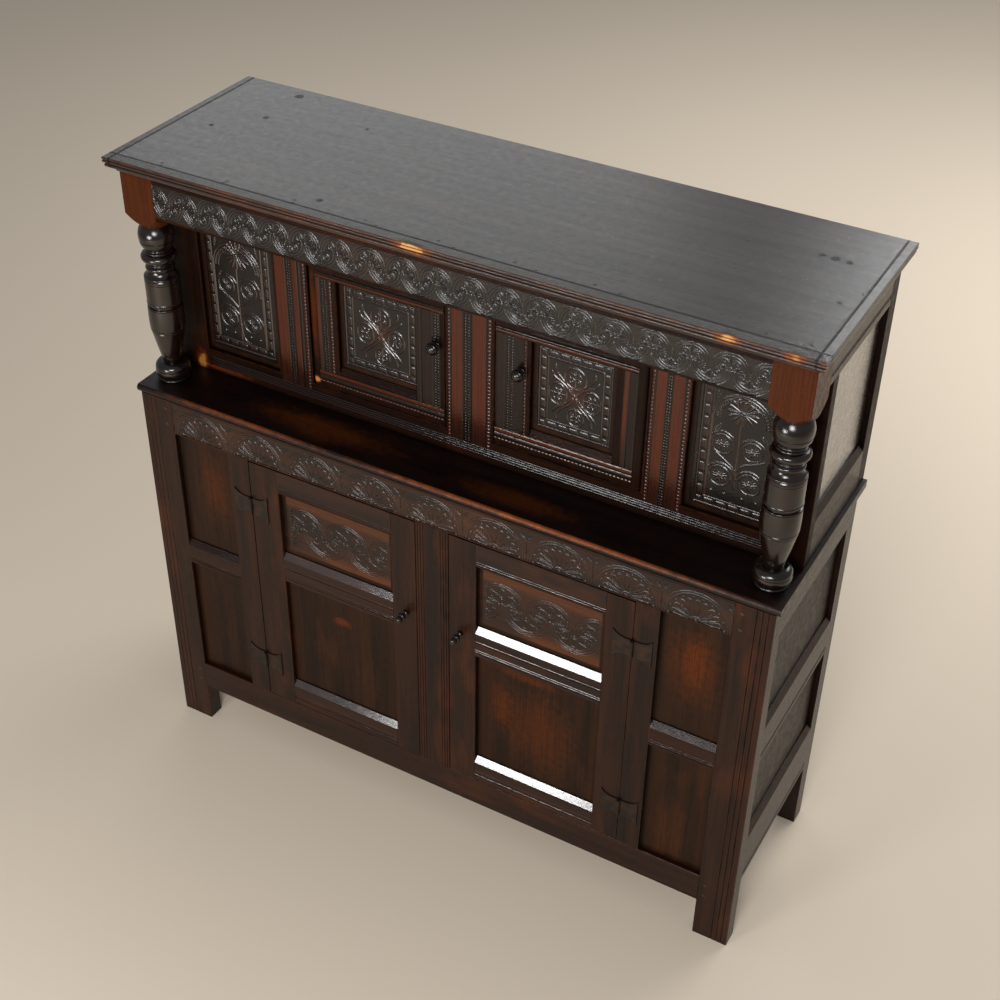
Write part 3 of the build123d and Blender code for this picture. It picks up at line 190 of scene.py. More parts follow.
def worn_arrises(tree, dents, strength):
    """Nibbled wear where a rounded normal leaves the flat one, which is on the arrises."""
    soft = add(tree, "Bevel", {"Radius": ARRIS_WEAR}, samples=3).outputs[0]
    flat = add(tree, "NewGeometry").outputs["Normal"]
    turn = add(tree, "VectorMath", {0: soft, 1: flat}, operation="DOT_PRODUCT").outputs["Value"]
    return reckon(tree, "MULTIPLY", ramp(tree, turn, 0.995, 0.86, 0.0, strength),
                  ramp(tree, dents, 0.40, 0.60))


def dark_gaps(tree, place, joints, knots):
    """Open joints between boards, and round knots and nail holes."""
    gaps = []
    for axis, where in joints:
        along = add(tree, "SeparateXYZ", {0: place}).outputs[axis]
        gaps.append(ramp(tree, away_from(tree, along, where), JOINT_CORE, JOINT_EDGE, 0.95, 0.0))
    for centre, radius in knots:
        away = add(tree, "VectorMath", {0: place, 1: centre}, operation="DISTANCE").outputs["Value"]
        gaps.append(ramp(tree, away, radius * 0.6, radius, 0.85, 0.0))
    return combined(tree, "MAXIMUM", gaps)


def oak(name, dark, middle, rubbed, axis, rub=0.4, gloss=0.42, wax=0.4, edge_wear=0.6, uneven=0.4,
        gleam=0.3, lustre=1.5, patches=(), joints=(), knots=(), carved=False, sills=False,
        dull_above=None, bloom_and_painted_sheen=None, raw="#b5793a"):
    """Old waxed oak. Streaky along the grain, near black in its pores, red brown where it is
    rubbed, with paler arrises, and with painted shade in every corner and on a carving's low
    ground. The wood itself is dull (gleam), and the wax over it (wax, lustre) gives the small
    bright lights.
    Patches have lost their wax and are raw in their middle; joints and knots are dark gaps; sills
    carry the duster's polish; wood above a height, dull_above, has no wax; bloom_and_painted_sheen
    is a painted grey sheen on a face that looks up."""
    material = bpy.data.materials.new(name)
    material.use_nodes = True
    tree = material.node_tree
    tree.nodes.clear()
    place = add(tree, "TexCoord").outputs["Object"]
    grain = stretched(tree, place, axis, GRAIN_LENGTH, GRAIN_WIDTH, Detail=3.0, Roughness=0.6,
                      Distortion=0.25)
    bands = stretched(tree, place, axis, BAND_LENGTH, BAND_WIDTH, Detail=2.0, Roughness=0.5,
                      Distortion=0.4)
    pores = stretched(tree, place, axis, PORE_LENGTH, PORE_WIDTH, Detail=2.0)
    clouds = stretched(tree, place, axis, CLOUD_LENGTH, CLOUD_WIDTH, Detail=3.0, Roughness=0.6)
    dents = add(tree, "TexNoise", {"Vector": place, "Scale": DENT_SCALE, "Detail": 3.0,
                                   "Roughness": 0.6}).outputs["Fac"]

    # streaks and bands of the wood itself
    colour = tint(tree, ramp(tree, reckon(tree, "ADD", grain, bands), 0.78, 1.28), dark, middle)
    # rubbed places: broad, soft and broken up by the grain
    amount = reckon(tree, "MULTIPLY", ramp(tree, clouds, 0.62 - 0.2 * rub, 0.84 - 0.2 * rub), rub)
    bare = bare_places(tree, place, dents, patches)
    if dull_above is not None:
        rise = add(tree, "SeparateXYZ", {0: place}).outputs["Z"]
        bare = ramp(tree, rise, dull_above - 0.002, dull_above + 0.002, 0.0, 0.95)
    if bare is not None:
        amount = reckon(tree, "ADD", amount, bare)
    if edge_wear:
        amount = reckon(tree, "ADD", amount, worn_arrises(tree, dents, edge_wear))
    if carved:
        worn = add(tree, "Attribute", attribute_name="wear").outputs["Fac"]
        amount = reckon(tree, "ADD", amount, worn)
    amount = reckon(tree, "MULTIPLY", amount, ramp(tree, grain, 0.25, 0.6, 0.45, 1.0),
                    use_clamp=True)
    colour = tint(tree, amount, colour, rubbed)
    if bare is not None:
        colour = tint(tree, ramp(tree, bare, 0.9, 1.5), colour, raw)
    # dirt in the pores; painted shade on the carving's low ground and in every corner
    colour = tint(tree, ramp(tree, pores, 0.56, 0.70, 0.0, 0.6), colour, "#0d0806")
    if carved:
        # painted shade: the lower the carved relief, the darker its colour, so the ground and the
        # feet of the ridges look shaded
        high = add(tree, "Attribute", attribute_name="relief").outputs["Fac"]
        colour = tint(tree, ramp(tree, high, 0.0, 0.4, 0.40, 0.0), colour, "#0b0806")
    # painted shade: ambient occlusion darkens every corner and crease towards near black
    corner = add(tree, "AmbientOcclusion", {"Distance": PAINTED_SHADE_REACH}, samples=4).outputs["AO"]
    colour = tint(tree, ramp(tree, corner, 0.45, 0.92, 0.85, 0.0), colour, "#070403")
    # painted sheen: faces that look up are tinted grey, as if the pale room shone in their wax
    if bloom_and_painted_sheen:
        colour = tint(tree, ramp(tree, facing_up(tree), 0.90, 0.98), colour, bloom_and_painted_sheen)
    gap = dark_gaps(tree, place, joints, knots)
    if gap is not None:
        colour = tint(tree, gap, colour, "#080605")

    # tool marks and open grain break up the gloss
    rough = ramp(tree, dents, 0.3, 0.7, gloss - 0.08, gloss + 0.14)
    height = reckon(tree, "ADD", grain, pores)
    height = add(tree, "Math", {0: dents, 1: 1.4, 2: height}, operation="MULTIPLY_ADD").outputs[0]
    bump = add(tree, "Bump", {"Height": height, "Strength": uneven, "Distance": 0.0007})
    shader = add(tree, "BsdfPrincipled", {
        "Base Color": colour, "Roughness": rough, "Normal": bump.outputs[0], "IOR": 1.5,
        "Specular IOR Level": gleam, "Coat Weight": wax, "Coat Roughness": 0.12,
        "Coat IOR": lustre, "Coat Normal": bump.outputs[0]})
    lost = combined(tree, "MAXIMUM", [ramp(tree, value, 0.0, full)
                                      for value, full in ((bare, 0.8), (gap, 0.7))
                                      if value is not None])
    coat = None
    if carved:  # hands and cloths polish what is rounded, and the flat ground stays dull
        polish = add(tree, "Attribute", attribute_name="polish").outputs["Fac"]
        coat = ramp(tree, polish, 0.15, 0.7, 0.22, wax)
    elif sills:  # a duster reaches the slope, and the upright face beside it keeps a thin coat
        coat = ramp(tree, away_from(tree, facing_up(tree), SILL_RISE), 0.02, 0.06, wax, 0.25)
    elif lost is not None:
        coat = ramp(tree, lost, 0.0, 1.0, wax, 0.0)
    if coat is not None:
        tree.links.new(coat, shader.inputs["Coat Weight"])
    add(tree, "OutputMaterial", {"Surface": shader.outputs[0]})
    return material


def wrought_iron():
    """Hand-forged iron, waxed over with the wood: pitted, brown black, with a bloom of old rust."""
    material = bpy.data.materials.new("waxed wrought iron")
    material.use_nodes = True
    tree = material.node_tree
    tree.nodes.clear()
    place = add(tree, "TexCoord").outputs["Object"]
    pits = add(tree, "TexNoise", {"Vector": place, "Scale": 260.0, "Detail": 3.0,
                                  "Roughness": 0.65})
    bloom_and_painted_sheen = add(tree, "TexNoise", {"Vector": place, "Scale": 45.0, "Detail": 2.0})
    colour = tint(tree, ramp(tree, bloom_and_painted_sheen.outputs["Fac"], 0.40, 0.70), "#1a110d", "#38220f")
    rough = ramp(tree, pits.outputs["Fac"], 0.0, 1.0, 0.34, 0.62)
    bump = add(tree, "Bump", {"Height": pits.outputs["Fac"], "Strength": 0.6, "Distance": 0.0006})
    shader = add(tree, "BsdfPrincipled", {
        "Base Color": colour, "Roughness": rough, "Normal": bump.outputs[0], "Metallic": 0.35,
        "Specular IOR Level": 0.4})
    add(tree, "OutputMaterial", {"Surface": shader.outputs[0]})
    return material


# (place, half sizes, strength) of the places where the polish has gone, in metres
FRAME_PATCHES = [
    ((-0.722, -0.105, 1.062), (0.022, 0.02, 0.040), 1.6),
    ((-0.388, -0.105, 1.120), (0.015, 0.02, 0.014), 1.8),
    ((-0.650, -0.105, 1.056), (0.110, 0.02, 0.010), 0.7),
    ((-0.386, -0.105, 1.290), (0.016, 0.01, 0.150), 0.5),
]
PANEL_PATCHES = [
    ((-0.620, -0.24, 0.800), (0.034, 0.04, 0.100), 0.15),
    ((0.640, -0.24, 0.820), (0.036, 0.04, 0.100), 0.28),
    ((-0.265, -0.24, 0.530), (0.035, 0.04, 0.018), 0.55),
    ((0.180, -0.24, 0.470), (0.040, 0.04, 0.100), 0.32),
    ((0.240, -0.24, 0.585), (0.110, 0.04, 0.020), 0.35),
    ((-0.610, -0.24, 0.800), (0.090, 0.04, 0.150), 0.15),
    ((0.640, -0.24, 0.800), (0.090, 0.04, 0.150), 0.25),
    ((0.280, -0.24, 0.430), (0.130, 0.04, 0.170), 0.25),
]
SHELF_PATCHES = [
    ((-0.330, -0.175, 1.045), (0.260, 0.050, 0.03), 0.28),
    ((0.180, -0.190, 1.045), (0.200, 0.040, 0.03), 0.22),
    ((0.250, -0.247, 1.043), (0.620, 0.009, 0.009), 0.95),
    ((-0.520, -0.247, 1.043), (0.300, 0.009, 0.009), 0.70),
]
CORNICE_PATCHES = [
    ((-0.038, -0.25, 1.61), (0.060, 0.03, 0.02), 1.9),
    ((0.630, -0.25, 1.61), (0.036, 0.03, 0.02), 1.5),
    ((0.760, -0.25, 1.61), (0.030, 0.03, 0.02), 1.2),
]
BLOCK_FOOT = 1.448  # the posts' square blocks stand above this height, and the lathe missed them
TOP_JOINTS = ((0, -0.801), (0, 0.800), (1, -0.214))  # (axis, place) where top and cornice meet
FRONT = 244  # the lower front stands this far in front of the frame's middle, in millimetres
TOP_KNOTS = [((x * MM, (back - FRONT) * MM, 1.618), radius * MM) for x, back, radius in (
    (-645, 487, 13), (-640, 350, 9), (-410, 415, 5), (-720, 255, 7), (-300, 70, 9),
    (-682, 33, 4), (-518, 35, 4), (-342, 33, 4), (-140, 34, 4), (40, 34, 4), (222, 36, 4),
    (400, 38, 4), (690, 40, 4), (775, 45, 4), (765, 215, 6), (792, 270, 4),
    (700, 376, 12), (672, 378, 9), (730, 374, 9))]

FINISHES = {  # name: dark, middle and rubbed colour, then what else differs from the common oak
    # lower framing, touched every day: deep brown, with a soft gleam and red brown arrises
    "frame": ("#100502", "#301406", "#74340f", dict(
        rub=0.3, gloss=0.5, gleam=0.06, wax=0.45, patches=FRAME_PATCHES)),
    # upper framing, out of reach of hands: nearly black and almost dull
    "upper frame": ("#0e0502", "#261006", "#6a2e0d", dict(
        rub=0.25, gloss=0.5, gleam=0.04, wax=0.14, patches=FRAME_PATCHES)),
    # wide riven boards: plain and dark, with an orange bloom in the middle, where cloths rub
    "panel": ("#150902", "#2f1605", "#74360d", dict(
        rub=0.22, gloss=0.5, gleam=0.08, wax=0.22, edge_wear=0.3, patches=PANEL_PATCHES)),
    # side panels of the upper stage: greyer, with a painted sheen in their colour, under a smooth
    # coat of wax that mirrors the room
    "upper side panel": ("#241a14", "#3d2d22", "#6b422a", dict(
        rub=0.25, edge_wear=0.3, wax=1.0, gloss=0.28, uneven=0.12)),
    # side panels of the lower stage: brown and dull
    "lower side panel": ("#190f09", "#2f1d12", "#6b3a1c", dict(
        rub=0.25, edge_wear=0.3, wax=0.15, gloss=0.4, gleam=0.05, uneven=0.15)),
    # rails of the lower doors: their sills are polished like glass and throw back a window
    "moulded rail": ("#100502", "#301406", "#74340f", dict(
        rub=0.3, gloss=0.45, gleam=0.10, wax=1.0, lustre=1.9, uneven=0.10, sills=True)),
    # frieze: grey brown with smoke, its ridges bright with wax
    "dark carving": ("#0f0a07", "#211712", "#5a2c18", dict(
        rub=0.2, edge_wear=0, wax=0.6, gleam=0.15, uneven=0.28, lustre=1.85, carved=True)),
    # panels in the recess: a darker ground, painted shade of the recess, with the wax thick and
    # bright on every ridge
    "deep carving": ("#0b0705", "#1a120e", "#5a2a16", dict(
        rub=0.25, edge_wear=0, wax=0.85, gleam=0.10, uneven=0.25, lustre=1.95, carved=True)),
    # lunettes and lower doors, at the height of a hand: browner, rubbed orange in places
    "warm carving": ("#180a03", "#381b09", "#7e3f14", dict(
        rub=0.35, edge_wear=0, wax=0.4, gleam=0.15, lustre=1.8, carved=True)),
    # planted strips: black beads and reeds beside bands rubbed red
    "strip": ("#0f0704", "#22100a", "#5f260b", dict(
        rub=0.1, edge_wear=0, wax=0.4, gleam=0.05, lustre=1.8, uneven=0.12, carved=True)),
    # turned posts and knobs: near black, glossy from the lathe, above them the dull red block
    "turning": ("#080403", "#1d0f08", "#4f2611", dict(
        rub=0.25, gloss=0.30, edge_wear=0.3, wax=0.75, gleam=0.08, lustre=1.65, uneven=0.14,
        dull_above=BLOCK_FOOT, raw="#5e2a10")),
    # cornice: red brown below, with a painted grey sheen on every face that looks up, its arris
    # broken down to pale bare wood
    "moulding": ("#1a0a05", "#391a0b", "#96501f", dict(
        rub=0.4, edge_wear=0.7, wax=0.7, bloom_and_painted_sheen="#3f3933", joints=TOP_JOINTS,
        patches=CORNICE_PATCHES, raw="#d9a05c")),
    # top board: dull grey old wax whose colour also holds a painted sheen of the pale room, over
    # plain boards
    "top": ("#302c28", "#4c4640", "#6a5a4a", dict(
        rub=0.2, gloss=0.34, wax=0.7, edge_wear=0.4, uneven=0.2, knots=TOP_KNOTS,
        joints=TOP_JOINTS)),
    # middle board: black and deep, its front edge worn to orange
    "shelf": ("#080301", "#1f0c06", "#8a4418", dict(
        rub=0.15, gloss=0.34, wax=0.12, gleam=0.2, edge_wear=1.2, patches=SHELF_PATCHES)),
    # backs, floor and inner rails: dry and never waxed, the colour of dust on old oak
    "inside": ("#3a2c20", "#5c4733", "#6f573f", dict(rub=0.3, gloss=0.75, wax=0.0, edge_wear=0)),
    # pegs: end grain, so a little paler than the rails they hold
    "peg": ("#20120b", "#3a2216", "#6b3c20", dict(rub=0.5, edge_wear=0)),
}
ALONG = {"x": 0, "y": 1, "z": 2}
made = {}


def finish_of(kind, grain):
    """The oak of one kind, with its grain along x, y or z; each is made once."""
    if (kind, grain) not in made:
        dark, middle, rubbed, rest = FINISHES[kind]
        made[kind, grain] = oak(f"waxed oak {kind}, grain along {grain}", dark, middle, rubbed,
                                ALONG[grain], **rest)
    return made[kind, grain]


NODE_FINISH = {
    ("frame", "z"): ["left_front_stile", "right_front_stile", "left_rear_stile", "right_rear_stile",
                     "left_muntin", "right_muntin", "centre_muntin", "left_lower_door_stiles",
                     "right_lower_door_stiles"],
    ("upper frame", "z"): ["upper_rear_stiles", "left_upper_front_stile", "right_upper_front_stile",
                           "upper_centre_muntin", "left_upper_muntin", "right_upper_muntin",
                           "left_upper_door_stiles", "right_upper_door_stiles"],
    ("frame", "x"): ["lunette_rail", "bottom_front_rail", "bay_rails"],
    ("upper frame", "x"): ["base_rail", "head_rail", "frieze_rail", "left_upper_door_rails",
                           "right_upper_door_rails"],
    ("frame", "y"): ["lower_side_rails", "upper_side_rails"],
    ("panel", "z"): ["bay_panels", "left_carved_panel", "right_carved_panel",
                     "left_upper_door_panel", "right_upper_door_panel",
                     "left_lower_door_plain_panel", "right_lower_door_plain_panel"],
    ("upper side panel", "z"): ["upper_side_panels"],
    ("lower side panel", "z"): ["lower_side_panels"],
    ("moulded rail", "x"): ["left_lower_door_rails", "right_lower_door_rails"],
    ("panel", "x"): ["left_lower_door_carved_panel", "right_lower_door_carved_panel"],
    ("turning", "z"): ["left_turned_post", "right_turned_post", "left_lower_door_knob",
                       "right_lower_door_knob", "left_upper_door_knob", "right_upper_door_knob"],
    ("moulding", "x"): ["cornice_front_moulding"],
    ("moulding", "y"): ["cornice_end_mouldings"],
    ("top", "x"): ["top_board"],
    ("shelf", "x"): ["shelf_board"],
    ("inside", "z"): ["lower_back_boards", "upper_back_boards"],
    ("inside", "x"): ["back_rails"],
    ("inside", "y"): ["floor_boards"],
    ("peg", "z"): ["oak_pegs", "upper_door_pivots"],
}
IRON_NODES = ["fixed_hinge_leaves", "left_moving_hinge_leaves", "right_moving_hinge_leaves",
              "hinge_pins"]


def paint(piece, material):
    """Give a piece one material all over."""
    piece.data.materials.clear()
    piece.data.materials.append(material)


def paint_nodes():
    """Finish every node of the frame."""
    for (kind, grain), names in NODE_FINISH.items():
        for name in names:
            paint(nodes[name], finish_of(kind, grain))
    iron = wrought_iron()
    for name in IRON_NODES:
        paint(nodes[name], iron)


# -------------------------------------------------------------------------------------- carvings
# A relief is a height in millimetres above its sunk ground, for arrays u and v: the frame's X and Z
# in millimetres. Shapes that overlap keep the higher one, as ridges left by the gouge do.
FACE = 4.0           # the carver leaves the ridges at the old face of the board
GROUND = 2.2         # the carved ground, over the bottom of the sunk field
UNCUT = 0.94 * FACE  # wood left beside the carving, worn a little below the face
STRIP = 1.6          # how far a planted strip or bead stands out
SKIN = 0.4           # the lowest wood over the bottom of the sunk field
BACK = 0.3           # a carving's back lies this deep in its board
SWELL = 1.35         # a ridge's foot lies this many half widths from its middle
GOUGE_MARKS = 0.10   # how uneven the gouge leaves the ground

# spacing of the points of a carved field
CUT, FINE_CUT, STRIP_CUT, REED_CUT = 1.2, 0.9, 1.1, 0.95


def ridge(away, half_width, height=FACE):
    """Rounded ridge over a line or a point, from the distance to it."""
    return height * np.clip(1 - (away / (SWELL * half_width)) ** 2, 0, 1)


def over(away, half_width):
    """Low broad ridge that rises from the carved ground to the face."""
    return GROUND + ridge(away, half_width, FACE - GROUND)


def step(value, start, end):
    """Smooth rise from 0 to 1."""
    share = np.clip((value - start) / (end - start), 0, 1)
    return share * share * (3 - 2 * share)


def polar(u, v, centre, radii):
    """Distance as a share of an ellipse's radii, and the angle from +u in degrees."""
    x, y = (u - centre[0]) / radii[0], (v - centre[1]) / radii[1]
    return np.hypot(x, y), np.degrees(np.arctan2(y, x)) % 360


def bow(u, v, centre, radii, start, sweep, half_width=1.8, height=FACE):
    """Ridge along part of an ellipse."""
    share, angle = polar(u, v, centre, radii)
    away = np.abs(share - 1) * (radii[0] + radii[1]) / 2
    return np.where((angle - start) % 360 <= sweep, ridge(away, half_width, height), 0)


def rod(u, v, start, end, half_width=1.8, height=FACE):
    """Ridge along a straight line."""
    dx, dy = end[0] - start[0], end[1] - start[1]
    along = np.clip(((u - start[0]) * dx + (v - start[1]) * dy) / (dx * dx + dy * dy), 0, 1)
    return ridge(np.hypot(u - start[0] - along * dx, v - start[1] - along * dy), half_width, height)


def stalk(u, v, points, half_width=1.8, height=FACE):
    """Ridge along a smooth line through three or four points."""
    steps = np.linspace(0, 1, 13)
    places = np.arange(len(points)) / (len(points) - 1)
    fits = [np.polyfit(places, [point[i] for point in points], len(points) - 1) for i in (0, 1)]
    line = list(zip(*[np.polyval(fit, steps) for fit in fits]))
    return highest(*[rod(u, v, a, b, half_width, height) for a, b in zip(line, line[1:])])


def leaf(u, v, foot, tip, width, height=FACE, hollow=0.55):
    """Pointed leaf with a raised rim and rib and a gouged hollow each side of the rib."""
    dx, dy = tip[0] - foot[0], tip[1] - foot[1]
    length = math.hypot(dx, dy)
    along = ((u - foot[0]) * dx + (v - foot[1]) * dy) / length ** 2
    across = np.abs((v - foot[1]) * dx - (u - foot[0]) * dy) / length
    half = width / 2 * np.sin(np.pi * np.clip(along, 0, 1)) ** 0.75
    share = across / np.maximum(half, 0.01)
    shape = (1 - hollow / 2) + hollow / 2 * np.cos(2 * np.pi * share)
    return np.where(share < 1, height * shape * np.clip((1 - share) * 6, 0, 1), 0)


def boss(u, v, centre, radius, height=FACE):
    """Rounded button."""
    return ridge(np.hypot(u - centre[0], v - centre[1]), radius, height)


def ring(u, v, centre, radii, half_width=1.6, height=FACE):
    """Whole oval ridge."""
    return bow(u, v, centre, radii, 0, 360, half_width, height)


def flower(u, v, centre, radius, petals=7):
    """Round flower: gouged petals about a button, inside a fine ring."""
    share, angle = polar(u, v, centre, (radius, radius))
    turn = np.abs((angle / 360 * petals) % 1 - 0.5) * 2  # 1 on a petal's middle, 0 between two
    body = np.sqrt(np.clip(1 - (share / 0.80) ** 6, 0, 1)) * np.clip(turn * 2.2, 0, 1)
    gouge = 1 - 0.6 * np.clip((turn - 0.45) * 3, 0, 1) * np.clip((share - 0.30) * 4, 0, 1)
    shape = np.where(share < 0.69 + 0.11 * turn, 0.85 * FACE * body * gouge, 0)
    return highest(shape, boss(u, v, centre, radius * 0.17),
                   ring(u, v, centre, (radius * 0.94,) * 2, 1.5))


def sunflower(u, v, centre, radius, petals=16):
    """Rosette of thin pointed petals about a button."""
    share, angle = polar(u, v, centre, (radius, radius))
    between = 1 - np.abs((angle / 360 * petals) % 1 - 0.5) * 2  # 0 on a petal's middle
    half = 0.72 * np.sin(np.pi * np.clip((share - 0.05) / 0.95, 0.001, 1)) ** 0.5
    shape = 0.95 * FACE * np.clip(1 - 0.5 * (between / np.maximum(half, 0.01)) ** 2, 0.5, 1)
    shape = np.where(between < half, shape, 0)
    return highest(np.where(share < 1, shape, 0), boss(u, v, centre, radius * 0.12))


def highest(*heights):
    """The upper surface of several shapes."""
    return np.maximum.reduce(heights)


def uncut_wood(outside):
    """Wood beyond the rings, from the distance outside them."""
    return UNCUT * step(outside, 0.4, 2.2)


def double_line(outside, inset, half_width):
    """Two fine ridges that follow an arch's edge inside it, the second one at an inset."""
    return highest(over(np.abs(outside + 2.0), 2.2), over(np.abs(outside + inset), half_width))


def guilloche(u, v, start, middle, radius, rise, filling):
    """Interlaced half rings, up from every other point of a line and down from the rest. The wood
    outside them is left near the face, and the rings are fine double lines. The filling of a ring
    is drawn from its centre and turned half round in the rings that hang down."""
    up = v >= middle
    local = np.where(up, u - start, u - start - radius)
    local = (local + radius) % (2 * radius) - radius
    above = np.abs(v - middle)
    share, _ = polar(local, above, (0, 0), (radius, rise))
    outside = (share - 1) * (radius + rise) / 2
    return highest(uncut_wood(outside), double_line(outside, 8.0, 2.0),
                   filling(np.where(up, local, -local), above))


FRIEZE_RINGS = 18  # pairs of half rings over the length of the frieze


def frieze(u, v):
    """Guilloche whose half rings each hold a sprig: one leaf between two curls."""
    def sprig(x, y):
        side = np.abs(x)
        return highest(leaf(x, y, (0, 10), (0, 29), 9), boss(side, y, (13.0, 12.5), 3.0),
                       bow(side, y, (12.5, 13.5), (7.6, 7.6), 250, 290, 1.6),
                       leaf(side, y, (3, 2), (25, 2.5), 6.5, 3.4),
                       leaf(side, y, (5, 19), (15, 26), 5, 3.2), boss(x, y, (0, 3), 4.0))
    low, high = FRIEZE_Z
    radius = (FRIEZE_X[1] - FRIEZE_X[0]) / (2 * FRIEZE_RINGS)
    return guilloche(u, v, FRIEZE_X[0], (low + high) / 2, radius, (high - low) / 2, sprig)


LUNETTE_COUNT = 9
PETAL_TURN = 20  # degrees from one petal of a lunette to the next
PETAL_TIP = 0.80  # share of the arch's radius at which a petal's bead sits


def lunettes(u, v):
    """Half-round arches of radiating petals, with a leaf cut in each spandrel."""
    pitch = (LUNETTE_X[1] - LUNETTE_X[0]) / LUNETTE_COUNT
    top = LUNETTE_Z[1] - LUNETTE_Z[0]
    x = (u - LUNETTE_X[0]) % pitch - pitch / 2
    y = v - LUNETTE_Z[0]
    radii = (pitch / 2 - 1, top - 2)
    share, angle = polar(x, y, (0, 0), radii)
    outside = (share - 1) * (radii[0] + radii[1]) / 2
    petal = np.abs((angle / PETAL_TURN) % 1 - 0.5) * 2  # 0 on a petal's middle, 1 between two
    shape = np.hypot(petal, np.clip((share - 0.60) / 0.17, 0, 2))
    fan = np.where(shape < 1, FACE * (0.35 + 0.65 * np.exp(-((shape - 0.72) / 0.19) ** 2)), 0)
    fan = np.where(share > 0.14, fan, 0) * np.clip((1 - shape) * 7, 0, 1)
    turn = ((angle / PETAL_TURN + 0.5) % 1 - 0.5) * PETAL_TURN  # from between two petals
    tip = ridge(np.hypot((share - PETAL_TIP) * radii[0],
                         turn * math.pi / 180 * PETAL_TIP * radii[0]), 2.6)
    edge = pitch / 2 - np.abs(x)
    cuts = highest(leaf(edge, y, (0, top - 30), (0, top - 4), 9, 2.6, 0),
                   leaf(edge, y, (3, top - 20), (17, top - 5), 7, 2.6, 0))
    inside = np.where(share < 0.87, highest(fan, tip), 0)
    return highest(uncut_wood(outside) - cuts, double_line(outside, 7.6, 1.8), inside,
                   bow(x, y, (0, 0), (11, 11), 0, 180, 2.0), boss(x, y, (0, 2), 6))


def beading(u, v, low, high, width, pitch):
    """Border of long flat beads inside a rectangle, a square at each corner, between fine lines."""
    def band(along, across, length):
        cell = length / round(length / pitch)
        away = np.abs((along / cell) % 1 - 0.5) * cell / (cell / 2 - 1.0)
        flat = np.clip(1 - away ** 6 - (across / (width * 0.37)) ** 4, 0, 1)
        return np.where((along > 0) & (along < length), 0.85 * FACE * np.sqrt(flat), 0)
    near_x = np.minimum(u - low[0], high[0] - u)
    near_z = np.minimum(v - low[1], high[1] - v)
    beads = highest(band(u - low[0] - width, near_z - width / 2, high[0] - low[0] - 2 * width),
                    band(v - low[1] - width, near_x - width / 2, high[1] - low[1] - 2 * width))
    corner = np.maximum(np.abs(near_x - width / 2), np.abs(near_z - width / 2))
    near = np.minimum(near_x, near_z)
    return highest(beads, 0.8 * FACE * step(-corner, -width * 0.36, -width * 0.22),
                   ridge(np.abs(near - width), 1.5), ridge(np.abs(near + 1.0), 1.6))


def door_cross(low, high):
    """Carved panel of an upper door: four round lobes and four split leaves in a beaded frame."""
    middle = ((low[0] + high[0]) / 2, (low[1] + high[1]) / 2)
    margin, width, bead = 2.5, 19.0, 27
    leaves = (((3, 5), (17, 24), (38, 44), (46, 65)),
              ((6, 3), (27, 25), (44, 34), (54, 47)),
              ((3, -6), (15, -26), (33, -42), (42, -66)),
              ((5, -4), (26, -27), (40, -38), (52, -52)))

    def frond(x, y, size):
        """Two pairs of curls on a rib, pointing up, to fill a lobe."""
        side = np.abs(x)
        curl = (size * 0.30, size * 0.25)
        return highest(rod(x, y, (0, -size), (0, size * 0.8), 1.2),
                       bow(side, y, (size * 0.32, size * 0.25), curl, 300, 240, 1.4),
                       bow(side, y, (size * 0.32, -size * 0.30), curl, 300, 240, 1.4),
                       boss(side, y, (size * 0.30, -size * 0.35), 2.0))

    def relief(u, v):
        x, y = u - middle[0], v - middle[1]
        ax = np.abs(x)
        shape = [beading(u, v, (low[0] + margin, low[1] + margin),
                         (high[0] - margin, high[1] - margin), width, bead),
                 ring(x, y, (0, 44), (25, 25), 2.1), frond(x, y - 44, 22),
                 ring(x, y, (3, -52), (19, 21), 2.0), frond(x - 3, -52 - y, 18),
                 ring(ax, y, (40, -4), (21, 26), 2.1), frond(y + 4, ax - 40, 20),
                 boss(x, y, (0, 0), 7)]
        shape = highest(*shape, *[stalk(ax, y, points, 2.3) for points in leaves])
        crest = 0.35 * step(shape, 0.75 * FACE, FACE)
        return shape, crest + 0.4 * np.exp(-((x / 26) ** 2 + ((y - 8) / 34) ** 2))
    return relief


# the two tall panels are alike but were set out by eye; all in millimetres
TALL = {
    "left": dict(
        arch=(-603.5, 1333.0, 66.0), rosette=(-603, 1369, 36), stem=(-606, 1334, 1148),
        flowers=((-638, 1287, 23), (-575, 1285, 23), (-637, 1199, 25), (-573, 1198, 25)),
        stalks=(((-660, 1273), (-645, 1263), (-619, 1245), (-607, 1228)),
                ((-604, 1232), (-590, 1247), (-560, 1262), (-541, 1278)),
                ((-662, 1220), (-640, 1234), (-618, 1226), (-607, 1214)),
                ((-604, 1190), (-602, 1165), (-594, 1150), (-580, 1147))),
        hoods=((-637, 1285, 30, 20, 120), (-573, 1285, 31, -30, 170), (-572, 1195, 33, -20, 160)),
        studs=((-652, 1162), (-625.5, 1162), (-580.5, 1162), (-553, 1162)), sill=1144.5),
    "right": dict(
        arch=(630.0, 1336.0, 64.0), rosette=(629, 1360, 33), stem=(626.5, 1330, 1178),
        flowers=((592.5, 1276, 24), (657.5, 1276, 23), (594, 1199, 25), (659, 1197, 25)),
        stalks=(((576, 1257), (592, 1246), (611, 1233), (624, 1221)),
                ((684, 1262), (664, 1250), (642, 1240), (630, 1223)),
                ((566, 1212), (592, 1230), (614, 1224), (624, 1210)),
                ((629, 1200), (636, 1219), (658, 1229), (682, 1216))),
        hoods=((593, 1277, 29, 40, 110), (658, 1275, 30, 20, 140)),
        studs=((579, 1157.5), (608, 1157.5), (646.5, 1157.5), (677, 1157.5)), sill=1140.5),
}
ARCH_LINES = ((0, 1.9), (6.5, 1.6), (14.5, 1.2))  # (inset, half width) of the ridges round an arch
DOT_INSET, DOT_TURN = 10.5, 7.5                   # millimetres, and degrees from dot to dot


